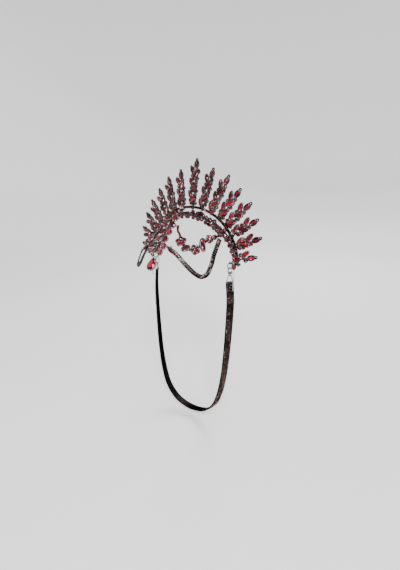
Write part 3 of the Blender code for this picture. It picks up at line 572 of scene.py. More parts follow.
def plate(work, place, start, end, width, low, high, polish_and_glint=MIDDLE):
    """A flat bar with chamfered upper edges between two places of a face."""
    a, b = Vector(start), Vector(end)
    run = (b - a).normalized()
    side = Vector((-run.y, run.x))
    edge = min(width, high - low) * 0.22
    rings = []
    for grow, height in ((0.0, low), (0.0, high - edge), (-edge, high)):
        w = side * (width / 2 + grow)
        ends = run * grow
        corners = [a - w - ends, b - w + ends, b + w + ends, a + w - ends]
        rings.append([place @ Vector((p.x, p.y, height)) for p in corners])
    points, faces = joined(rings)
    work.add(points, faces, (polish_and_glint, False))


def gem(stones, place, outline, girdle, table, tone, foot=1.2, share=0.42):
    """A cut stone: kite, star and girdle facets round a table, and a pointed foot."""
    count = len(outline)
    half = count // 2
    width = min(max(abs(p[0]) for p in outline), max(abs(p[1]) for p in outline))
    middle = inset_outline(outline, width * share * 0.5)
    top = inset_outline(outline, width * share)
    rim = [place @ Vector((a, b, girdle)) for a, b in outline]
    mid = [place @ Vector((*middle[2 * i + 1], girdle + (table - girdle) * 0.62)) for i in range(half)]
    flat = [place @ Vector((*top[2 * i], table)) for i in range(half)]
    points = rim + mid + flat + [place @ Vector((0, 0, girdle - foot))]
    faces, shades = [], []
    for i in range(half):
        m0, m1 = count + (i - 1) % half, count + i
        t0, t1 = count + half + i, count + half + (i + 1) % half
        g0, g1, g2 = 2 * i, 2 * i + 1, (2 * i + 2) % count
        faces += [(m0, g0, m1, t0), (t0, m1, t1), (g0, g1, m1), (g1, g2, m1)]
        # Each facet gets its painted light and shade: kites and stars lighter, girdle facets and the foot
        # darker.
        shades += [chance.uniform(low, high) for low, high in FACET_SHADES]
    faces.append(tuple(count + half + i for i in range(half)))
    shades.append(chance.uniform(*TABLE_SHADES))
    for i in range(count):
        faces.append(((i + 1) % count, i, len(points) - 1))
        shades.append(chance.uniform(*FOOT_SHADES))
    spread = min(1.0, max(0.0, tone + chance.uniform(*TONE_SPREAD)))
    depth = chance.uniform(*STONE_DEPTHS)
    # A share of the crown facets is painted as glints; the rest keep their painted light and shade, scaled
    # by the stone's depth.
    flash = [i < 4 * half and chance.random() < FACET_GLINTS for i in range(len(shades))]
    shades = [1.0 if lit else shade * depth for lit, shade in zip(flash, shades)]
    stones.add(points, faces, [(spread, shade, False) for shade in shades])


def prong(metal, place, a, b, low, high, inward, thick=0.75):
    """A claw up the wall of a setting, bent over the stone's edge."""
    centre = Vector((a, b))
    back = centre.normalized() * inward if centre.length else centre
    bends = ((0.0, low), (0.0, high - 0.35), (0.45, high + 0.15), (1.0, high + 0.12))
    points = [place @ Vector((a - back.x * share, b - back.y * share, z)) for share, z in bends]
    face = face_of(place) + place.to_3x3() @ Vector((b, -a, 0)) * 0.2
    # Some claws are painted bright at random: rubbed plating and painted glints.
    polish_and_glint = BRIGHT if chance.random() < CLAW_GLINTS else MIDDLE
    tube(metal, points, thick, 5, face=face, polish_and_glint=polish_and_glint, taper=(0.7, 1.0, 1.0, 0.7))


def setting(metal, stones, place, length, width, lift=0.0, tone=0.5, low=-2.4, rim=0.12):
    """A stone in its walled setting, with a broad sloping rim and claws; rim is a share of the width."""
    outline = stone_outline(length + 2 * SETTING_GROWS, width + 2 * SETTING_GROWS)
    small = width <= SMALL_STONE
    rim = rim * width + SETTING_GROWS
    top = 1.15 + lift
    levels = [(width * 0.30, low + lift), (width * 0.10, low * 0.6 + lift), (0.0, low * 0.3 + lift)]
    levels += [(0.0, top - 0.2), (rim * 0.55, top + 0.15), (rim * 0.9, top + 0.2)]
    levels += [(rim + 0.1, top - 0.2), (rim + 0.2, 0.2 + lift)]
    # Some rims are painted pale at random: rubbed plating and painted glints.
    wear_and_glint = PALE if chance.random() < RIM_GLINTS else MIDDLE
    stacked(metal, place, outline, levels, [BACK, BACK, DULL, MIDDLE, wear_and_glint, DULL, DULL])
    cut = inset_outline(outline, rim * 0.95)
    gem(stones, place, cut, 1.1 + lift, 2.2 + lift + 0.04 * width, tone, 0.9 if small else 1.1)
    n = len(outline)
    if length > LONG_STONE * width:
        claws = (0, n // 2, n // 8 + 1, 3 * n // 8, 5 * n // 8 + 1, 7 * n // 8)
    else:
        claws = (0, n // 4, n // 2, 3 * n // 4)
    for a, b in (outline[i] for i in claws):
        prong(metal, place, a * 0.92, b * 0.92, -0.3 + lift, top + 0.6, rim + 0.15, 0.62 if small else 0.8)


def flower(metal, stones, place, size, tone):
    """Five round stones about a raised middle one, on a small disc."""
    petal, middle, disc, reach = size * 0.40, size * 0.34, size * 0.7, size * 0.295
    for i in range(5):
        a = math.radians(72 * i + 18)
        at = spot(place, math.cos(a) * reach, math.sin(a) * reach)
        setting(metal, stones, at, petal, petal, 0.0, tone, low=-1.4, rim=0.10)
    setting(metal, stones, place, middle, middle, 1.2, min(1.0, tone + 0.25), low=-3.4, rim=0.08)
    levels = [(0.5, -1.2), (0.0, -0.6), (0.3, 0.1)]
    stacked(metal, place, round_outline(disc, disc, 10), levels, [DULL, DULL], (DULL, DULL))


# Geometry nodes: stones in cups along a path

def socket_id(tree, name):
    return next(s.identifier for s in tree.interface.items_tree if s.name == name and s.in_out == "INPUT")


class Tree:
    """A node tree with one way of adding nodes."""

    def __init__(self, tree):
        self.tree = tree

    def node(self, kind, settings=None, **sockets):
        made = self.tree.nodes.new(kind)
        for key, value in (settings or {}).items():
            setattr(made, key, value)
        for key, value in sockets.items():
            numbered = key[0] == "i" and key[1:].isdigit()
            target = made.inputs[int(key[1:]) if numbered else key.replace("_", " ")]
            if isinstance(value, bpy.types.NodeSocket):
                self.tree.links.new(value, target)
            else:
                target.default_value = value
        return made


def chain_tree(name, stones):
    """Cups, or the stones in them, at even steps along the edges of a piece; each edge path is one row."""
    group = bpy.data.node_groups.new(name, "GeometryNodeTree")
    inputs = {"Geometry": "Geometry", "Pitch": "Float", "Size": "Float", "Height": "Float", "Seed": "Int"}
    for label, kind in {**inputs, "Finish": "Material"}.items():
        group.interface.new_socket(label, in_out="INPUT", socket_type=f"NodeSocket{kind}")
    group.interface.new_socket("Geometry", in_out="OUTPUT", socket_type="NodeSocketGeometry")
    t = Tree(group)
    given = t.node("NodeGroupInput").outputs
    size, height = given["Size"], given["Height"]

    def times(value, share):
        return t.node("ShaderNodeMath", {"operation": "MULTIPLY"}, i0=value, i1=share).outputs[0]

    def sized(x, y, z):
        """Three lengths, as shares of a cup's width, width and height."""
        made = t.node("ShaderNodeCombineXYZ", X=times(size, x), Y=times(size, y), Z=times(height, z))
        return made.outputs[0]

    def moved(geometry, x, y, z):
        return t.node("GeometryNodeTransform", Geometry=geometry, Translation=sized(x, y, z)).outputs[0]

    def cone(sides, top, bottom, depth):
        sizes = {"Radius_Top": times(size, top), "Radius_Bottom": times(size, bottom)}
        sizes.update({"Depth": times(height, depth), "Vertices": sides})
        return t.node("GeometryNodeMeshCone", {"fill_type": "NGON"}, **sizes).outputs["Mesh"]

    def stored(geometry, label, value, domain):
        settings = {"data_type": "FLOAT", "domain": domain}
        sockets = {"Geometry": geometry, "Name": label, "Value": value}
        return t.node("GeometryNodeStoreNamedAttribute", settings, **sockets).outputs[0]

    curve = t.node("GeometryNodeMeshToCurve", Mesh=given["Geometry"]).outputs["Curve"]
    even = t.node("GeometryNodeResampleCurve", {"mode": "LENGTH"}, Curve=curve, Length=given["Pitch"])
    run = t.node("GeometryNodeInputTangent").outputs["Tangent"]
    out = t.node("GeometryNodeInputNamedAttribute", {"data_type": "FLOAT_VECTOR"}, Name="outward")
    turn = t.node("FunctionNodeAlignRotationToVector", {"axis": "X"}, Vector=run).outputs["Rotation"]
    about = {"axis": "Z", "pivot_axis": "X"}
    turn = t.node("FunctionNodeAlignRotationToVector", about, Rotation=turn, Vector=out.outputs[0])
    if stones:
        parts = [moved(cone(8, 0.22, 0.39, 0.42), 0, 0, 0.98), moved(cone(8, 0.39, 0.34, 0.3), 0, 0, 0.68)]
    else:
        walls = t.node("GeometryNodeMeshCube", Size=sized(0.98, 0.98, 0.9)).outputs["Mesh"]
        # The claws are painted bright: painted glints on the cups.
        claw = stored(cone(4, 0.06, 0.11, 0.5), "polish_and_glint", BRIGHT, "FACE")
        parts = [moved(walls, 0, 0, 0.45)]
        parts += [moved(claw, 0.36 * x, 0.36 * y, 0.85) for x, y in ((1, 1), (1, -1), (-1, 1), (-1, -1))]
        bridge = t.node("ShaderNodeCombineXYZ", X=given["Pitch"], Y=times(size, 0.8), Z=times(height, 0.24))
        back = t.node("GeometryNodeMeshCube", Size=bridge.outputs[0]).outputs["Mesh"]
        parts.append(stored(back, "polish_and_glint", CHAIN_BACK, "FACE"))
    item = t.node("GeometryNodeJoinGeometry")
    for part in reversed(parts):
        group.links.new(part, item.inputs[0])
    sockets = {"Instance": item.outputs[0], "Rotation": turn.outputs["Rotation"]}
    rows = t.node("GeometryNodeInstanceOnPoints", Points=even.outputs["Curve"], **sockets).outputs[0]
    drawn = {"ID": t.node("GeometryNodeInputIndex").outputs[0], "Seed": given["Seed"]}
    if stones:
        ends = {"i0": (-STONE_LEAN, -STONE_LEAN, 0.0), "i1": (STONE_LEAN, STONE_LEAN, 0.0)}
        lean = t.node("FunctionNodeRandomValue", {"data_type": "FLOAT_VECTOR"}, **ends, **drawn)
        rows = t.node("GeometryNodeRotateInstances", Instances=rows, Rotation=lean.outputs[0]).outputs[0]
    tone = t.node("FunctionNodeRandomValue", {"data_type": "FLOAT"}, Min=0.0, Max=1.0, **drawn)
    rows = stored(rows, "tone", tone.outputs[1], "INSTANCE")
    whole = t.node("GeometryNodeRealizeInstances", Geometry=rows)
    flat = t.node("GeometryNodeSetShadeSmooth", Geometry=whole.outputs[0], Shade_Smooth=False)
    done = t.node("GeometryNodeSetMaterial", Geometry=flat.outputs[0], Material=given["Finish"])
    t.node("NodeGroupOutput", i0=done.outputs[0])
    return group


CUP_TREE = chain_tree("cups along a row", False)
STONE_TREE = chain_tree("stones along a row", True)


def row_paths(rows):
    """Edge paths in metres, with the way that the stones look out at each point."""
    mesh = bpy.data.meshes.new("rows")
    points, edges, outward = [], [], []
    for path, faces in rows:
        base = len(points)
        points += [tuple(p * MM) for p in path]
        outward += [c for f in faces for c in f.normalized()]
        edges += [(base + i, base + i + 1) for i in range(len(path) - 1)]
    mesh.from_pydata(points, edges, [])
    layer = mesh.attributes.new("outward", "FLOAT_VECTOR", "POINT")
    layer.data.foreach_set("vector", outward)
    return mesh


def chained(name, rows, tree, finish, pitch, size, height):
    """A plain mesh of cups or stones along rows."""
    base = bpy.data.objects.new(name, row_paths(rows))
    bpy.context.scene.collection.objects.link(base)
    modifier = base.modifiers.new("chain", "NODES")
    modifier.node_group = tree
    sizes = {"Pitch": pitch * MM, "Size": size * MM, "Height": height * MM}
    for label, value in {**sizes, "Seed": CHAIN_SEED, "Finish": finish}.items():
        modifier[socket_id(tree, label)] = value
    graph = bpy.context.evaluated_depsgraph_get()
    mesh = bpy.data.meshes.new_from_object(base.evaluated_get(graph))
    bpy.data.objects.remove(base)
    mesh.name = name
    return mesh


def side_rows(points, faces, count, spacing):
    """Rows side by side along a run, between its two edges."""
    across = [squared(face, run).cross(run) for face, run in zip(faces, runs_of(points))]
    rows = []
    for k in range(count):
        offset = (k - (count - 1) / 2) * spacing
        rows.append(([p + side * offset for p, side in zip(points, across)], faces))
    return rows


# Finishes

class Value:
    """A shader socket that takes part in sums and products."""

    def __init__(self, tree, socket):
        self.tree = tree
        self.socket = socket

    def math(self, operation, other, swap=False):
        first, second = (other, self) if swap else (self, other)
        first, second = (v.socket if isinstance(v, Value) else v for v in (first, second))
        made = self.tree.node("ShaderNodeMath", {"operation": operation}, i0=first, i1=second)
        return Value(self.tree, made.outputs[0])

    def __add__(self, other):
        return self.math("ADD", other)

    def __radd__(self, other):
        return self.math("ADD", other, True)

    def __sub__(self, other):
        return self.math("SUBTRACT", other)

    def __rsub__(self, other):
        return self.math("SUBTRACT", other, True)

    def __mul__(self, other):
        return self.math("MULTIPLY", other)

    def __rmul__(self, other):
        return self.math("MULTIPLY", other, True)

    def clamped(self):
        made = self.math("MULTIPLY", 1.0)
        made.socket.node.use_clamp = True
        return made


class Finish(Tree):
    """A material under construction."""

    def __init__(self, name):
        self.material = bpy.data.materials.new(name)
        self.material.use_nodes = True
        super().__init__(self.material.node_tree)
        self.shader = self.tree.nodes["Principled BSDF"]
        self.place = self.node("ShaderNodeTexCoord").outputs["Object"]

    def noted(self, name):
        return Value(self, self.node("ShaderNodeAttribute", {"attribute_name": name}).outputs["Fac"])

    def noise(self, scale, detail=2.0):
        made = self.node("ShaderNodeTexNoise", Vector=self.place, Scale=scale, Detail=detail)
        return Value(self, made.outputs["Fac"])

    def mix(self, share, first, second):
        made = self.node("ShaderNodeMix", {"data_type": "RGBA"}, i0=share.socket)
        for index, colour in ((6, first), (7, second)):
            if isinstance(colour, Value):
                self.tree.links.new(colour.socket, made.inputs[index])
            else:
                made.inputs[index].default_value = (*colour, 1.0)
        return Value(self, made.outputs[2])

    def feed(self, **sockets):
        for name, value in sockets.items():
            target = self.shader.inputs[name.replace("_", " ")]
            if isinstance(value, Value):
                self.tree.links.new(value.socket, target)
            else:
                target.default_value = value

    def bump(self, height, strength, distance):
        made = self.node("ShaderNodeBump", Height=height.socket, Strength=strength, Distance=distance)
        self.tree.links.new(made.outputs["Normal"], self.shader.inputs["Normal"])


def gunmetal_finish(name, dark, bright, roughness):
    """Dark plating, painted paler silver where a face is noted as bright, as rubbed plating and as painted
    glints, and smoother there, with a fine uneven grain.
    """
    f = Finish(name)
    polish_and_glint = f.noted("polish_and_glint")
    cloud = f.noise(260.0)
    grain = f.noise(2600.0, 3.0)
    share = (polish_and_glint * 0.85 + (cloud - 0.5) * 0.5).clamped()
    f.feed(Base_Color=f.mix(share, dark, bright), Metallic=1.0, Specular_Tint=(0.3, 0.3, 0.3, 1.0))
    f.feed(Roughness=(roughness - polish_and_glint * 0.10 + (grain - 0.5) * 0.16).clamped())
    f.bump(grain, 0.25, 0.0001)
    return f.material


def link_finish(name, tint, shadow):
    """Rolled wire: silver grey with faint draw marks and darker hollows."""
    f = Finish(name)
    cloud = f.noise(420.0)
    grain = f.noise(3200.0, 3.0)
    f.feed(Base_Color=f.mix(cloud.clamped(), shadow, tint), Metallic=1.0)
    f.feed(Roughness=(0.18 + (grain - 0.5) * 0.2).clamped())
    f.bump(grain, 0.2, 0.0001)
    return f.material


def stone_finish(name, deep, bright, dusky, dusk_share):
    """Foiled glass: each facet has its own painted light and shade, standing in for reflections in the
    stone, and the lightest are painted nearly white as glints; each stone lies between clear ruby and dusky
    rose.
    """
    f = Finish(name)
    tone, shade = f.noted("tone"), f.noted("shade")
    cloud = f.noise(180.0)
    depth = (shade * shade * 1.2).clamped()
    clear = f.mix(depth, deep, bright)
    greyed = f.mix(depth, deep, dusky)
    stone = f.mix(((1.0 - tone) * dusk_share + (cloud - 0.5) * 0.5).clamped(), clear, greyed)
    f.feed(Base_Color=f.mix(((shade - 0.95) * 40.0).clamped(), stone, FLASH))
    f.feed(Metallic=0.75, Specular_Tint=(0.6, 0.25, 0.28, 1.0), IOR=1.5)
    f.feed(Coat_Weight=0.15, Coat_Roughness=0.02)
    f.feed(Roughness=(0.16 + cloud * 0.1).clamped())
    return f.material


def chain_stone_finish(name, deep, bright, flashes):
    """Small stones of the cup chains, which differ one by one; the share above flashes is painted nearly
    white as painted glints.
    """
    f = Finish(name)
    tone = f.noted("tone")
    cloud = f.noise(900.0)
    stone = f.mix((tone * tone * tone * 1.2 + (cloud - 0.5) * 0.4).clamped(), deep, bright)
    f.feed(Base_Color=f.mix(((tone - flashes) * 40.0).clamped(), stone, FLASH))
    f.feed(Metallic=0.7, Specular_Tint=(0.4, 0.15, 0.18, 1.0), IOR=1.5)
    f.feed(Coat_Weight=0.12, Coat_Roughness=0.03)
    f.feed(Roughness=(0.18 + cloud * 0.1).clamped())
    return f.material


def paper_finish(name, tint):
    f = Finish(name)
    cloud = f.noise(6.0)
    f.feed(Base_Color=f.mix(cloud, tint, tuple(c * 0.985 for c in tint)), Roughness=0.9)
    return f.material


# Colour of the painted glints on stones.
FLASH = (0.80, 0.58, 0.60)
BLACKENED = (0.006, 0.005, 0.006)
DEPTH = (0.006, 0.0001, 0.001)  # the darkest painted shade on the facets of a cut stone
# The pale colour of each plating is painted on faces noted bright: rubbed plating and painted glints.
GUNMETAL = gunmetal_finish("gunmetal plating", (0.003, 0.0025, 0.003), (0.46, 0.44, 0.43), 0.34)
SILVERED = gunmetal_finish("worn gunmetal plating", BLACKENED, (0.74, 0.71, 0.70), 0.32)
LINKS = link_finish("silver grey wire", (0.20, 0.20, 0.19), (0.04, 0.04, 0.04))
CUPS = gunmetal_finish("cup chain metal", (0.006, 0.005, 0.005), (0.52, 0.50, 0.48), 0.38)
DARK_CUPS = gunmetal_finish("dark cup chain metal", (0.002, 0.0015, 0.0015), (0.04, 0.035, 0.035), 0.42)
RUBY = stone_finish("ruby stones", DEPTH, (0.62, 0.002, 0.040), (0.36, 0.105, 0.135), 0.95)
DEEP_RUBY = stone_finish("deep ruby", DEPTH, (0.36, 0.0008, 0.018), (0.26, 0.030, 0.045), 0.6)
WINE = chain_stone_finish("wine stones", (0.005, 0.0004, 0.001), (0.26, 0.030, 0.044), 0.95)
# The strap's stones differ one by one; their pale end and the flashing share are painted glints.
DARK_WINE = chain_stone_finish("dark wine stones", (0.055, 0.026, 0.027), (0.52, 0.36, 0.35), 0.97)
# Pale grey stones for the swag row that catches the light: a painted highlight.
PAINTED_HIGHLIGHT_STONES = chain_stone_finish("pale painted highlight stones", (0.05, 0.045, 0.045), (0.40, 0.36, 0.36), 0.72)


# Pieces and their bodies

def finished(name, mesh, finish, body, slot_name, *stands_for):
    """A named piece, on its body; its record slot, slot_name, is not used."""
    obj = bpy.data.objects.new(name, mesh)
    bpy.context.scene.collection.objects.link(obj)
    mesh.materials.clear()
    mesh.materials.append(finish)
    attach(obj, body)
    if stands_for:
        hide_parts(*stands_for)
    return obj


def metal_piece(name, work, body, *stands_for, finish=GUNMETAL):
    return finished(name, work.mesh(name, ("polish_and_glint",)), finish, body, "gunmetal", *stands_for)


def stone_piece(name, work, body, *stands_for, finish=RUBY):
    return finished(name, work.mesh(name, ("tone", "shade")), finish, body, "ruby", *stands_for)


def chain_piece(name, rows, tree, finish, slot_name, pitch, size, height):
    finished(name, chained(name, rows, tree, finish, pitch, size, height), finish, "crown", slot_name)


def cup_chain(cups, stones, rows, pitch, cup, stone, height):
    """Two pieces along the same rows: plated cups, and the wine stones in them."""
    chain_piece(cups, rows, CUP_TREE, CUPS, "gunmetal", pitch, cup, height)
    chain_piece(stones, rows, STONE_TREE, WINE, "ruby_chain", pitch, stone, height)


# Halo

def halo_point(u, v):
    lean = math.radians(HALO_LEAN)
    return Vector((u, v * math.sin(lean) + HALO_BOW * u * u + HALO_Y, v * math.cos(lean) + HALO_Z))


def wire_point(angle):
    a = math.radians(angle)
    return halo_point(WIRE_RADIUS * math.sin(a), WIRE_RISE + WIRE_RADIUS * math.cos(a))


def halo_face(u):
    lean = math.radians(HALO_LEAN)
    return Vector((1, 2 * HALO_BOW * u, 0)).cross(Vector((0, math.sin(lean), math.cos(lean))))


def halo_wire():
    points = [wire_point(-WIRE_END + 2 * WIRE_END * i / 96) for i in range(97)]
    metal = Work()
    tube(metal, points, WIRE_THICK, 10)
    metal_piece("halo_wire_round", metal, "crown", "halo_wire")
    inner = points[4:-4]
    faces = [halo_face(p.x).normalized() for p in inner]
    path = [p + f * (WIRE_THICK / 2 + 0.7) for p, f in zip(inner, faces)]
    cup_chain("halo_wire_cups", "halo_wire_stones", [(path, faces)], *HALO_CHAIN)


def spray_frame(angle, tip_radius):
    """Frame at the root on the wire, and the length to the tip."""
    a = math.radians(angle)
    root_radius = WIRE_RISE * math.cos(a) + math.sqrt(WIRE_RADIUS**2 - (WIRE_RISE * math.sin(a)) ** 2)
    root = halo_point(root_radius * math.sin(a), root_radius * math.cos(a))
    tip = halo_point(tip_radius * math.sin(a), tip_radius * math.cos(a))
    return frame_of(root, tip - root, halo_face(root.x)), (tip - root).length


def tip_setting(metal, stones, place, tone):
    """The marquise at a spray's tip, whose setting ends in an eyelet."""
    body = spot(place, -1.4, 0)
    outline = marquise_outline(TIP_LENGTH - 1.6, TIP_WIDTH + 2 * SETTING_GROWS, 5)
    levels = [(1.6, -2.4), (0.5, -1.8), (0.0, -1.2), (0.0, 0.8), (0.6, 1.1), (1.4, 1.2)]
    stacked(metal, body, outline, levels, [BACK, BACK, DULL, MIDDLE, MIDDLE])
    stone = marquise_outline(TIP_LENGTH - 4.8, TIP_WIDTH - 2.8, 4)
    gem(stones, body, stone, 1.15, 2.5, tone, 0.7)
    eyelet = place @ Vector((TIP_LENGTH / 2 - 2.0, 0, 0.0))
    link(metal, eyelet, face_of(place), place.to_3x3() @ LEFT, 1.75, 1.0, DULL, 16)
    for a, b in (stone[1], stone[-1], stone[7], stone[-7]):
        prong(metal, body, a * 1.05, b * 1.2, 0.6, 1.75, 0.9, 0.8)


def spray(name, angle, tip_radius, outermost):
    """Stem, tip, leaves, cross stones and rounds, all in their settings."""
    place, length = spray_frame(angle, tip_radius)
    metal, stones = Work(), Work()
    low_end, high_end = COLLAR_OUTER / 2 - 0.8, COLLAR_OUTER / 2 - 2.8 + length - TIP_LENGTH * 0.6
    shares = [i / 8 for i in range(9)]
    stem = [(low_end + (high_end - low_end) * s, 0.35 * math.sin(12.8 * s), -0.4) for s in shares]
    tube(metal, [place @ Vector(p) for p in stem], STEM_THICK, 8, face=face_of(place))
    # Painted light: the stones are painted clearer towards the wearer's left and duskier towards the right.
    side = SIDE_PAINTED_LIGHT * math.sin(math.radians(angle))
    tip_setting(metal, stones, spot(place, length - TIP_LENGTH / 2, 0), TIP_TONE + side)
    drop = 0.0
    while LEVEL[0][0] + drop < length:
        for below, left, turn, size, width, lift, tone in LEVEL:
            along = length - below - drop
            low = along - size / 2 * math.cos(math.radians(turn))
            if low < ROOT_CLEAR - ROOT_LIFT:
                continue
            along += max(0.0, ROOT_CLEAR - low)
            setting(metal, stones, spot(place, along, left, turn), size, width, lift, tone + side)
            if abs(left) > 1.0:
                arm = [(along - 4.0, 0, -0.4), (along - 1.6, left * 0.6, -0.6), (along, left, -0.6 + lift)]
                arm = catmull([place @ Vector(p) for p in arm], 5)
                tube(metal, arm, ARM_THICK, 6, face=face_of(place), taper=(1.2, 1, 1, 1, 0.9, 0.8))
        drop += SPRAY_PITCH
    on_wire = math.degrees(math.asin(place.translation.x / WIRE_RADIUS))
    tangent = (wire_point(on_wire + 2) - wire_point(on_wire - 2)).normalized()
    for offset, radius in COLLAR_TURNS:
        centre = place.translation + tangent * offset
        link(metal, centre, tangent, tangent.orthogonal(), radius, COLLAR_WIRE, MIDDLE, 14)
    if angle == 0:
        setting(metal, stones, spot(place, length - 19.5, -4.2, 60.0), 8.6, 6.4, 0.5, 0.3)
    if outermost:
        at = spot(place, 0.4, 0.0, 10.0)
        setting(metal, stones, at, *ROOT_STONE, lift=COLLAR_OUTER / 2 + 1.2, tone=1.0, low=-3.6)
    metal_piece(f"{name}_settings", metal, "crown", name)
    stone_piece(f"{name}_stones", stones, "crown")


# Brow band

def band_frame(angle, outwards=0.0, turn=0.0):
    """Frame on the band's front face: X along its run, towards the wearer's left."""
    t = math.radians(angle)
    point = Vector((BAND_HALF_WIDTH * math.sin(t), BAND_TIP_FORWARD * (1 - math.cos(t)), 0))
    point.z = BAND_RISE * (math.cos(t) - 1) + BAND_HEIGHT / 2
    run = Vector((BAND_HALF_WIDTH * math.cos(t), BAND_TIP_FORWARD * math.sin(t), -BAND_RISE * math.sin(t)))
    face = Vector((0, -BAND_RISE, -BAND_TIP_FORWARD))
    return spot(frame_of(point, run, face), 0.0, outwards, turn)


def strip(work, points, faces, width, thick, edge=0.35):
    """A strip of chamfered section along points, polished and painted bright on its two front edges, as
    rubbed plating and painted glints.
    """
    half, t = width / 2, thick / 2
    section = [(-half + edge, -t), (half - edge, -t), (half, -t + edge), (half, t - edge)]
    section += [(half - edge, t), (-half + edge, t), (-half, t - edge), (-half, -t + edge)]
    rings = []
    for p, face, run in zip(points, faces, runs_of(points)):
        out = squared(face, run)
        side = out.cross(run)
        rings.append([p + side * a + out * b for a, b in section])
    made, faces_made = joined(rings)
    walls = [(BRIGHT if k in (3, 5) else DULL, False) for k in range(8)]
    work.add(made, faces_made, walls * (len(rings) - 1) + [(DULL, False)] * 2)


def brow_band():
    frames = [band_frame(-90 + 180 * i / 72) for i in range(73)]
    face = face_of(frames[0])
    points = [f.translation for f in frames]
    metal, half, half_stones = Work(), Work(), Work()
    strip(metal, points, [face] * len(points), BAND_HEIGHT, BAND_THICK)
    for angle, outwards, turn, length, width, tone in BAND_STONES:
        at = band_frame(angle, outwards, turn)
        setting(half, half_stones, at, length, width, BAND_LIFT, tone, low=-2.8)
        if abs(outwards) > BAND_HEIGHT / 2:
            plate(half, band_frame(angle), (0, 0), (0, outwards), 2.0, -0.5, 0.7)
    for angle, outwards, size, tone in BAND_SMALL:
        setting(half, half_stones, band_frame(angle, outwards), size, size, BAND_LIFT - 0.5, tone, low=-2.6)
    angle, outwards, size = BAND_FLOWER
    flower(half, half_stones, spot(band_frame(angle, outwards), 0, 0, up=BAND_LIFT), size, 0.6)
    end_plate(half, half_stones)
    start = Vector((HANGER[0], band_frame(angle).translation.y, HANGER[1] + HANGER_DROP))
    stirrup(half, frame_of(start, DOWN, turned(0)), HANGER_DROP, HANGER_HALF_WIDTH)
    metal_piece("brow_band_settings", metal.merge(half).merge(half.mirrored()), "crown", "brow_band")
    stone_piece("brow_band_stones", half_stones.merge(half_stones.mirrored()), "crown")
    for label, offset in (("lower", -BAND_ROW_OFFSET), ("upper", BAND_ROW_OFFSET)):
        path = [spot(f, 0, offset, up=BAND_THICK / 2 + 0.3).translation for f in frames[2:-2]]
        rows = [(path, [face] * len(path))]
        cup_chain(f"brow_band_cups_{label}", f"brow_band_rounds_{label}", rows, *BAND_CHAIN)


def stirrup(metal, place, reach, half_width):
    """Two legs and a bar across their ends."""
    corners = [(0, -half_width), (reach - 0.6, -half_width), (reach, -half_width + 0.6)]
    outline = corners + [(x, -y) for x, y in reversed(corners)]
    tube(metal, [place @ Vector((x, y, 0)) for x, y in outline], STIRRUP_BAR, 8, face=face_of(place))


def end_plate(metal, stones):
    """The plate from the band to the wire's end, with the eyes for the ring and the end drop."""
    wire_end = wire_point(END_WIRE_ANGLE)
    tangent = (wire_point(END_WIRE_ANGLE + 1) - wire_point(END_WIRE_ANGLE - 1)).normalized()
    band_end = band_frame(BAND_END_ANGLE).translation
    eye = Vector((END_X, END_Y, END_EYE_Z))
    for offset in (-1.0, 0.0, 1.0):
        link(metal, wire_end + tangent * offset, tangent, tangent.orthogonal(), 2.3, 0.7, MIDDLE, 16)
    link(metal, eye, turned(RING_TURN - 90), DOWN, END_EYE_RADIUS, LINK_WIRE)
    corner = Vector((END_CORNER_X, band_end.y, wire_end.z))
    for start, end, short, width, half in (
        (band_end, corner, -1.5, 4.4, 0.8),
        (corner, wire_end, 2.4, 3.2, 0.9),
        (corner, eye, END_EYE_RADIUS - 0.1, 3.2, 0.7),
    ):
        base = frame_of(start, end - start, turned(0))
        plate(metal, base, (0, 0), ((end - start).length - short, 0), width, -half, half)
    for share, size, tone in ((0.2, 4.6, 0.5), (0.75, 4.6, 0.7)):
        at = band_end.lerp(corner, share) + turned(0) * 0.8
        base = frame_of(at, corner - band_end, turned(0))
        setting(metal, stones, base, size, size, 0.2, tone, low=-1.0)
    drop = Vector(DROP_EYE)
    link(metal, drop, turned(90), DOWN, DROP_EYE_RADIUS, DROP_WIRE, BRIGHT, 16)
    bridge = [drop + Vector((0, DROP_EYE_RADIUS - 0.2, 0)), Vector((drop.x, END_Y, drop.z))]
    tube(metal, bridge, 1.2, 8, face=UP)


# Frontlet

def front_spine():
    points = [Vector((0, y, z)) for y, z in FRONTLET_TOP]
    points += [Vector((0, row[0], row[1])) for row in FRONT_ROWS]
    return points + [Vector((0, *FRONTLET_END))]


def spine_face(run):
    return Vector((0, run.z, -run.y)).normalized()


def front_base(row):
    points = front_spine()
    k = len(FRONTLET_TOP) + row - 1
    run = points[k + 1] - points[k - 1]
    return frame_of(points[k], run, spine_face(run))


def pendant_down():
    a = math.radians(PENDANT_LEAN)
    return Vector((0, -math.sin(a), -math.cos(a)))


def front_eye():
    return Vector((0, *FRONTLET_END)) + pendant_down() * EYE_RADIUS


def ear_frame(row, sign):
    """Frame of a stirrup's root at a row, with X to the wearer's left or right."""
    base = front_base(row)
    face = face_of(base)
    return frame_of(base.translation + face * (CUP_LIFT + CUP_FLOOR - 0.6), LEFT * sign, face)


def end_link(metal, bar_centre, bar_run, towards):
    """A link round a stirrup's bar, and the place on it where a strand begins."""
    reach = squared(towards - bar_centre, bar_run)
    centre = bar_centre + reach * (END_LINK_RADIUS - END_LINK_WIRE - GAP - STIRRUP_BAR * 0.7)
    link(metal, centre, bar_run, reach, END_LINK_RADIUS, END_LINK_WIRE, BRIGHT, 16)
    return centre + reach * END_LINK_RADIUS


def strand_ends(metal, ear, holds, inner):
    """The end links of a strand on the wearer's left, and its run between them."""
    row, out = ear
    base = ear_frame(row, 1)
    back = Vector((HANGER[0] + holds, band_frame(BAND_FLOWER[0]).translation.y, HANGER[1]))
    start = end_link(metal, base @ Vector((out, 0, 0)), base.to_3x3() @ Vector((0, 1, 0)), Vector(inner[0]))
    end = end_link(metal, back, LEFT, Vector(inner[-1]))
    return [start] + [Vector(p) for p in inner] + [end]


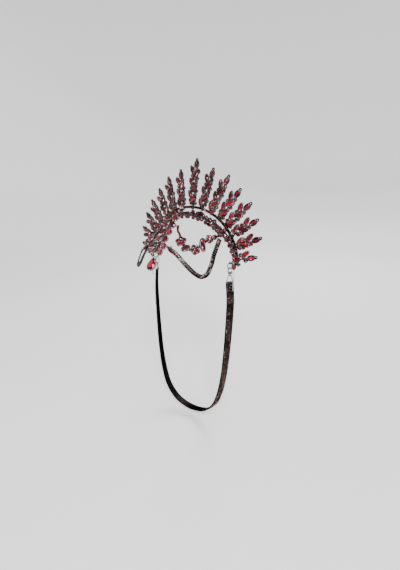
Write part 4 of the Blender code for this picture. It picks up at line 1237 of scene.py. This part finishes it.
def front_cup(metal, stones, place, outline, tone):
    """A walled cup with a cut stone and claws round its rim."""
    levels = [(1.4, CUP_FOOT), (0.3, CUP_FOOT + 0.7), (-0.15, CUP_RIM - 0.25), (0.0, CUP_RIM)]
    levels += [(0.32, CUP_RIM), (0.42, CUP_RIM - 0.3), (0.6, 0.1)]
    # The rim is painted pale and bright round each stone, as painted glints.
    stacked(metal, place, outline, levels, [BACK, DULL, PALE, BRIGHT, PALE, DULL])
    gem(stones, place, inset_outline(outline, 0.42), 1.1, 2.85, tone, 0.9, 0.36)
    for a, b in outline[:: max(1, len(outline) // 8)]:
        prong(metal, place, a * 0.97, b * 0.97, -0.6, CUP_RIM + 0.45, 0.75)


def frontlet():
    spine = front_spine()
    points = catmull(spine, 48)
    faces = [spine_face(run) for run in runs_of(points)]
    metal = Work()
    strip(metal, points, faces, FRONTLET_WIDTH, FRONTLET_THICK, edge=0.25)
    for number, row in enumerate(FRONT_ROWS, 1):
        base = front_base(number)
        _, _, out_r, turn_r, length_r, width_r, out_l, turn_l, length_l, width_l = row
        low, high = FRONTLET_THICK / 2 - 0.5, CUP_LIFT + CUP_FLOOR - 0.2
        plate(metal, base, (0, -out_r), (0, out_l), 1.8, low, high)
        marquise = marquise_outline(length_r + FRONT_GROWS, width_r + FRONT_GROWS)
        pear = pear_outline(length_l + FRONT_GROWS, width_l + FRONT_GROWS)
        pair = (("r", -out_r, turn_r, marquise, 0.15), ("l", out_l, turn_l + 180, pear, 0.35))
        for side, out, turn, outline, tone in pair:
            stones = Work()
            front_cup(metal, stones, spot(base, 0, out, turn, CUP_LIFT), outline, tone)
            stone_piece(f"front_gem_{side}{number}", stones, "crown", f"front_stone_{side}{number}")
    small = Work()
    for number in range(1, len(FRONT_ROWS) + 1):
        for left in (-SPINE_STONE_OFFSET, SPINE_STONE_OFFSET):
            at = spot(front_base(number), -5.0, left, up=CUP_LIFT - 0.6)
            setting(metal, small, at, SPINE_STONE, SPINE_STONE, 0.0, 0.3, low=-1.6)
    stone_piece("frontlet_small_stones", small, "crown")
    for row, out in (GARLAND_EAR, SWAG_EAR):
        for sign in (1, -1):
            inner = FRONT_ROWS[row - 1][2]
            base = ear_frame(row, sign) @ Matrix.Translation((inner, 0, 0))
            stirrup(metal, base, out - inner, EAR_HALF_WIDTH)
    hook = band_frame(0).translation
    reach = BAND_THICK / 2 + GAP
    top = BAND_HEIGHT / 2 + GAP
    plane = frame_of(hook, face_of(band_frame(0)), LEFT)
    half = FRONTLET_WIDTH / 2 - 0.1
    plate(metal, plane, (reach + 0.6, 0.9), (reach + 0.6, -top - 0.9), 1.2, -half, half)
    plate(metal, plane, (reach + 1.1, -top - 0.5), (-reach - 0.9, -top - 0.5), 1.0, -half, half)
    plate(metal, plane, (-reach - 0.5, -top - 0.8), (-reach - 0.5, 1.0), 1.0, -half, half)
    run = spine[-1] - spine[-2]
    link(metal, front_eye(), spine_face(run), pendant_down(), EYE_RADIUS, EYE_WIRE, BRIGHT, 16)
    end_sprig(metal)
    metal_piece("frontlet_settings", metal, "crown", "frontlet", finish=SILVERED)
    up = FRONTLET_THICK / 2 + 0.5
    rows = [([p + f * up for p, f in zip(points, faces)][2:-7], faces[2:-7])]
    cup_chain("frontlet_cups", "frontlet_rounds", rows, *SPINE_CHAIN)


def end_sprig(metal):
    """Three polished prongs that fan out beside the pendant's eye."""
    root = spot(front_base(6), 2.2, 4.6, up=2.4)
    for turn, size in ((-24, 5.4), (2, 6.4), (28, 5.4)):
        leaf = spot(root, 0, 0, turn) @ Matrix.Translation((size / 2, 0, 0))
        levels = [(0.5, -0.7), (0.0, 0.0), (0.6, 0.7)]
        stacked(metal, leaf, marquise_outline(size, 1.9, 3), levels, [BRIGHT, BRIGHT], (BRIGHT, BRIGHT))


# Pendant

def pendant_places():
    """Centres of the jump ring and the pendant's eye, and the frame of the pear, whose X points up."""
    down = pendant_down()
    reach = EYE_WIRE + PENDANT_RING_WIRE + GAP
    bar_centre = front_eye() + down * EYE_RADIUS
    ring_centre = bar_centre + down * (PENDANT_RING_RADIUS - reach)
    eye_centre = ring_centre + down * (PENDANT_RING_RADIUS - reach + EYE_RADIUS)
    face = Vector((0, down.z, -down.y))
    pear = frame_of(eye_centre + down * (EYE_RADIUS + PENDANT_LENGTH / 2 - 0.6), -down, face)
    return ring_centre, eye_centre, pear


def pendant():
    ring_centre, eye_centre, pear = pendant_places()
    loop, metal, stones = Work(), Work(), Work()
    link(loop, ring_centre, LEFT, pendant_down(), PENDANT_RING_RADIUS, PENDANT_RING_WIRE, BRIGHT, 24)
    metal_piece("pendant_jump_ring", loop, "pendant", "pendant_ring", finish=LINKS)
    outline = pear_outline(*PENDANT_WALL, 32)
    levels = [(2.6, -2.0), (0.5, -1.3), (0.0, -0.4), (0.0, 0.75), (0.2, 1.0), (1.0, 1.0)]
    levels += [(1.15, 0.75), (1.3, -0.6)]
    polish_and_glint = [BACK, MIDDLE, MIDDLE, PALE, PALE, PALE, DULL]
    stacked(metal, pear, outline, levels, polish_and_glint, (DULL, DULL))
    link(metal, eye_centre, face_of(pear), pendant_down(), EYE_RADIUS, EYE_WIRE, BRIGHT)
    for a, b in inset_outline(outline, 0.6):
        bead(metal, spot(pear, a, b, up=1.0), 0.9, 0.4)
    metal_piece("pendant_bezel", metal, "pendant", "pendant_setting")
    stone = inset_outline(pear_outline(*PENDANT_WALL, 20), 1.1)
    gem(stones, pear, stone, 1.1, 3.4, 1.0, 1.8, 0.40)
    stone_piece("pendant_pear", stones, "pendant", "pendant_stone", finish=DEEP_RUBY)


# Sides

def strand_face(p):
    """The way that a strand's stones look at a point."""
    return Vector([(at - c) / half**2 for at, c, half in zip(p, ROUND_CENTRE, ROUND_HALF)]).normalized()


def flipped(rows):
    """The same rows for the wearer's other side."""
    mirror = Matrix.Diagonal((-1, 1, 1))
    return [([mirror @ p for p in path], [mirror @ f for f in faces]) for path, faces in rows]


def ornament_frame(run, share):
    """Frame of a garland's flower or leaf, which looks less upwards than the chain."""
    point, along = along_run(run, share)
    face = strand_face(point)
    return frame_of(point, along, Vector((face.x, face.y, face.z * ORNAMENT_UP)))


def garland(side):
    metal, stones = Work(), Work()
    run = catmull(strand_ends(metal, GARLAND_EAR, HANGER_HOLDS[0], GARLAND), 60)
    for share, left, turn, length, width, tone in GARLAND_STONES:
        at = spot(ornament_frame(run, share), 0, left, turn)
        setting(metal, stones, at, length, width, 0.4, tone, low=-2.0)
    for share, size, tone in GARLAND_FLOWERS:
        flower(metal, stones, ornament_frame(run, share), size, tone)
    rows = [(run, [strand_face(p) for p in run])]
    if side == "r":
        metal, stones, rows = metal.mirrored(), stones.mirrored(), flipped(rows)
    metal_piece(f"garland_{side}_settings", metal, "crown", f"garland_{side}", finish=SILVERED)
    stone_piece(f"garland_{side}_stones", stones, "crown")
    cup_chain(f"garland_{side}_cups", f"garland_{side}_rounds", rows, *GARLAND_CHAIN)


def swag(side):
    metal = Work()
    points = catmull(strand_ends(metal, SWAG_EAR, HANGER_HOLDS[1], SWAG), 80)[2:-2]
    rows = side_rows(points, [strand_face(p) for p in points], 2, SWAG_WIDTH / 2)
    if side == "r":
        metal, rows = metal.mirrored(), flipped(rows)
    metal_piece(f"swag_{side}_links", metal, "crown", f"swag_{side}", finish=LINKS)
    for label, held, tree, finish, size in (
        ("cups", rows, CUP_TREE, CUPS, SWAG_CUP),
        ("red_row", rows[:1], STONE_TREE, WINE, SWAG_STONES[0]),
        # The second row's pale stones are a painted highlight.
        ("painted_highlight_row", rows[1:], STONE_TREE, PAINTED_HIGHLIGHT_STONES, SWAG_STONES[1]),
    ):
        name = f"swag_{side}_{label}"
        chain_piece(name, held, tree, finish, "ruby_chain", SWAG_PITCH, size, SWAG_CHAIN_HEIGHT)


# Ends

def hung(z_above, wire_above, wire_below):
    """Height of the top wire of a link that hangs in the link above, whose lowest wire is at z_above."""
    return z_above + wire_above + wire_below + GAP


def end_heights():
    ring_top = hung(END_EYE_Z - END_EYE_RADIUS, LINK_WIRE, LINK_WIRE)
    ring_z = ring_top - RING_RADIUS
    clasp_z = hung(ring_z - RING_RADIUS, LINK_WIRE, CLASP_WIRE) - CLASP_HALF_HEIGHT
    clasp_eye_z = clasp_z - CLASP_HALF_HEIGHT - 1.2 - CLASP_EYE_RADIUS + 0.2
    loop_top = hung(clasp_eye_z - CLASP_EYE_RADIUS, CLASP_EYE_WIRE, LINK_WIRE)
    return ring_z, clasp_z, clasp_eye_z, loop_top


def end_links(side):
    """The jump ring and the strap's triangular loop, and at the fixed end the oval link between them."""
    sign = -1 if side == "r" else 1
    ring_z, _, _, loop_top = end_heights()
    ring_work, loop_work = Work(), Work()
    centre = Vector((sign * END_X, END_Y, ring_z))
    link(ring_work, centre, turned(sign * RING_TURN), DOWN, RING_RADIUS, LINK_WIRE, BRIGHT, 32, 10)
    metal_piece(f"end_jump_ring_{side}", ring_work, "crown", f"end_ring_{side}", finish=LINKS)
    across = turned(sign * (STRAP_TURN + 90))
    wide, low = LOOP_HALF_WIDTH, -LOOP_HEIGHT
    corners = [(0.0, 0.0), (2.0, -0.9), (wide - 0.3, low + 1.6), (wide, low + 0.6), (wide - 0.7, low)]
    outline = corners + [(-a, z) for a, z in reversed(corners[1:])]
    top = Vector((sign * END_X, END_Y, loop_top))
    points = [top + across * a + UP * z for a, z in outline]
    tube(loop_work, points, LINK_WIRE * 2, 10, True, turned(sign * STRAP_TURN), BRIGHT)
    metal_piece(f"strap_end_loop_{side}", loop_work, "crown", f"strap_loop_{side}", finish=LINKS)
    if side == "r":
        oval = Work()
        high = hung(ring_z - RING_RADIUS, LINK_WIRE, LINK_WIRE)
        low = loop_top - 2 * LINK_WIRE - GAP
        across = turned(sign * CLASP_TURN + 90) * OVAL_HALF_WIDTH
        centre = Vector((sign * END_X, END_Y, (high + low) / 2))
        points = [centre + across * math.sin(a) + UP * math.cos(a) * (high - low) / 2 for a in circle(28)]
        tube(oval, points, LINK_WIRE * 2, 10, True, turned(sign * CLASP_TURN), BRIGHT)
        metal_piece("oval_link_r", oval, "crown", "link_ring_r", finish=LINKS)


def end_drop(side):
    x, y, z = DROP_EYE
    upper = hung(z - DROP_EYE_RADIUS, DROP_WIRE, DROP_WIRE) - DROP_EYE_RADIUS
    middle = upper - DROP_EYE_RADIUS - DROP_LENGTH / 2 + 0.5
    base = frame_of(Vector((x, y, middle)), UP, turned(0))
    metal, stones = Work(), Work()
    link(metal, Vector((x, y, upper)), turned(0), DOWN, DROP_EYE_RADIUS, DROP_WIRE, BRIGHT, 16)
    setting(metal, stones, base, DROP_LENGTH, DROP_WIDTH, -0.9, 0.4, low=-1.4)
    tie_loop(metal, Vector((x, y, middle - DROP_LENGTH / 2)))
    if side == "r":
        metal, stones = metal.mirrored(), stones.mirrored()
    metal_piece(f"end_drop_{side}_frame", metal, "crown", f"end_drop_{side}")
    stone_piece(f"end_drop_{side}_gem", stones, "crown")


def tie_loop(metal, top):
    """A thin wire loop that hangs under the end drop, wide above and drawn together below."""
    one = [top + Vector((0, -half, z)) for z, half in TIE_LOOP]
    other = [top + Vector((0, half, z)) for z, half in reversed(TIE_LOOP[1:-1])]
    tube(metal, one + other, 0.7, 8, True, LEFT, BRIGHT)


def clasp():
    """A lobster clasp: a bent hook with two cheeks and an eye, and a thumb lever on a pin between them."""
    face = turned(CLASP_TURN)
    base = frame_of(Vector((END_X, END_Y, end_heights()[1])), UP.cross(face), face)
    normal = face_of(base)

    def arc(angle):
        a = math.radians(angle)
        return math.sin(a) * CLASP_HALF_WIDTH, math.cos(a) * CLASP_HALF_HEIGHT

    body, lever = Work(), Work()
    steps = [i / 30 for i in range(31)]
    sweep = CLASP_TIP_ANGLE - CLASP_ROOT_ANGLE
    hook = [base @ Vector((*arc(CLASP_ROOT_ANGLE + sweep * s), 0)) for s in steps]
    taper = [1.0 - 0.35 * s**3 for s in steps]
    tube(body, hook, CLASP_WIRE * 2, 12, face=normal, polish_and_glint=BRIGHT, taper=taper)
    low, high = -CLASP_HALF_HEIGHT - 1.2, -CLASP_HALF_HEIGHT + 1.6
    middle = (low + high) / 2
    gap = LEVER_THICK / 2 + GAP
    plate(body, base, (-2.5, middle), (-0.7, middle), high - low, -CLASP_CHEEK, CLASP_CHEEK, BRIGHT)
    for start, end in ((gap, CLASP_CHEEK - 0.02), (-CLASP_CHEEK + 0.02, -gap)):
        plate(body, base, (-0.9, middle), (2.9, middle), high - low - 0.04, start, end, BRIGHT)
    hub = base @ Vector((*LEVER_HINGE, 0))
    pin = normal * (CLASP_CHEEK - 0.3)
    tube(body, [hub - pin, hub + pin], LEVER_PIN * 2, 12, face=UP, polish_and_glint=BRIGHT)
    eye = Vector((END_X, END_Y, end_heights()[2]))
    link(body, eye, normal, DOWN, CLASP_EYE_RADIUS, CLASP_EYE_WIRE, BRIGHT)
    metal_piece("clasp_hook", body, "crown", "clasp_body", finish=LINKS)
    half = LEVER_THICK / 2
    u, v = base.to_3x3() @ LEFT, base.to_3x3() @ Vector((0, 1, 0))
    sleeve(lever, hub - normal * half, hub + normal * half, u, v, LEVER_PIN + GAP, LEVER_WALL, BRIGHT)
    x, y = CLASP_HALF_WIDTH - 0.1, -1.9
    start = (LEVER_HINGE[0] + 1.0, LEVER_HINGE[1] + 0.5)
    plate(lever, base, start, (x, y), 1.1, -half + 0.02, half - 0.02, BRIGHT)
    plate(lever, base, (x, y - 0.4), arc(LEVER_TOP_ANGLE), 1.1, -half, half, BRIGHT)
    plate(lever, base, (x, y + 0.5), (x + 1.6, y - 0.2), 1.2, -half - 0.1, half + 0.1, BRIGHT)
    metal_piece("clasp_thumb_lever", lever, "lever", "clasp_lever", finish=LINKS)


# Chin strap

def strap_points():
    left = [Vector((x, END_Y, z)) for x, z in STRAP_RUN]
    right = [Vector((-p.x, p.y, p.z)) for p in reversed(left[:-1])]
    return catmull(left + right, 160)


def strap_faces(points):
    """Outward directions; they turn to the front towards the upper ends."""
    faces = []
    last = len(points) - 1
    for i, run in enumerate(runs_of(points)):
        twist = math.radians(STRAP_TWIST) * abs(1 - 2 * i / last)
        out = Vector((-run.z, 0, run.x))
        faces.append(out * math.cos(twist) + turned(0) * math.sin(twist))
    return faces


def chin_strap():
    """Four rows of cup chain, each end in a sleeve round the bar of its end loop."""
    points = strap_points()
    rows = side_rows(points, strap_faces(points), STRAP_ROWS, STRAP_WIDTH / STRAP_ROWS)
    bars = Work()
    for sign in (1, -1):
        low = Vector((sign * END_X, END_Y, end_heights()[3] - LOOP_HEIGHT))
        across = turned(sign * (STRAP_TURN + 90))
        half = across * LOOP_HALF_WIDTH * 0.65
        bore = LINK_WIRE + GAP + 0.15
        sleeve(bars, low - half, low + half, UP, across.cross(UP), bore, STRAP_WALL, MIDDLE)
    metal_piece("chin_strap_sleeves", bars, "crown", "chin_strap")
    for label, tree, finish, size, height in (
        ("cups", CUP_TREE, DARK_CUPS, STRAP_WIDTH / STRAP_ROWS, STRAP_CUP_HEIGHT),
        ("stones", STONE_TREE, DARK_WINE, STRAP_STONE, STRAP_STONE_HEIGHT),
    ):
        chain_piece(f"chin_strap_{label}", rows, tree, finish, "ruby_chain", STRAP_PITCH, size, height)


# Studio

def studio():
    """A pale floor that rises into a wall all round, and soft light."""
    mesh = bpy.data.meshes.new("floor")
    points = [(0, 0, FLOOR_Z)]
    for radius, height in FLOOR_PROFILE:
        ring = [(radius * math.cos(a), radius * math.sin(a)) for a in circle(FLOOR_SIDES)]
        points += [(x, y, FLOOR_Z + height) for x, y in ring]
    steps = [(i, (i + 1) % FLOOR_SIDES) for i in range(FLOOR_SIDES)]
    faces = [(0, 1 + i, 1 + j) for i, j in steps]
    for k in range(len(FLOOR_PROFILE) - 1):
        low, high = 1 + k * FLOOR_SIDES, 1 + (k + 1) * FLOOR_SIDES
        faces += [(low + i, high + i, high + j, low + j) for i, j in steps]
    mesh.from_pydata(points, [], faces)
    mesh.polygons.foreach_set("use_smooth", [True] * len(mesh.polygons))
    floor = bpy.data.objects.new("studio_floor", mesh)
    bpy.context.scene.collection.objects.link(floor)
    mesh.materials.append(paper_finish("pale paper", PAPER))
    world = bpy.data.worlds.new("soft sky")
    bpy.context.scene.world = world
    world.use_nodes = True
    sky = world.node_tree.nodes["Background"]
    sky.inputs["Color"].default_value = (1.0, 1.0, 1.0, 1.0)
    sky.inputs["Strength"].default_value = SKY_STRENGTH
    for name, place, size, power in LAMPS:
        lamp = bpy.data.lights.new(name, "AREA")
        lamp.size = size
        lamp.energy = power
        obj = bpy.data.objects.new(name, lamp)
        bpy.context.scene.collection.objects.link(obj)
        obj.location = place
        obj.rotation_euler = (Vector(LAMP_AIM) - Vector(place)).to_track_quat("-Z", "Y").to_euler()


def camera():
    az, el, pitch = (math.radians(a) for a in (CAMERA_AZIMUTH, CAMERA_HEIGHT, CAMERA_PITCH))
    back = Vector((math.sin(az) * math.cos(el), -math.cos(az) * math.cos(el), math.sin(el)))
    right = Vector((math.cos(az), math.sin(az), 0))
    up = back.cross(right)
    look = back * math.cos(pitch) + up * math.sin(pitch)
    over = up * math.cos(pitch) - back * math.sin(pitch)
    lens = bpy.data.cameras.new("camera")
    lens.sensor_width = SENSOR
    width, height = FRAME_SIZE
    lens.lens = CAMERA_FOCAL * SENSOR / height
    lens.shift_x = (width / 2 - PRINCIPAL[0]) / height
    lens.shift_y = (PRINCIPAL[1] - height / 2) / height
    lens.clip_start = 0.01
    lens.clip_end = 20
    obj = bpy.data.objects.new("camera", lens)
    m = Matrix((right, over, look)).transposed().to_4x4()
    m.translation = Vector(CAMERA_AIM) + back * CAMERA_REACH
    obj.matrix_world = m
    bpy.context.scene.collection.objects.link(obj)
    bpy.context.scene.camera = obj


camera()
studio()
halo_wire()
for number, (angle, tip_radius) in enumerate(SPRAYS):
    for side, sign in (("l", 1), ("r", -1)) if number else (("", 1),):
        spray(f"spray_{side}{number}", sign * angle, tip_radius, number == len(SPRAYS) - 1)
brow_band()
frontlet()
pendant()
for side in ("l", "r"):
    garland(side)
    swag(side)
    end_links(side)
    end_drop(side)
clasp()
chin_strap()
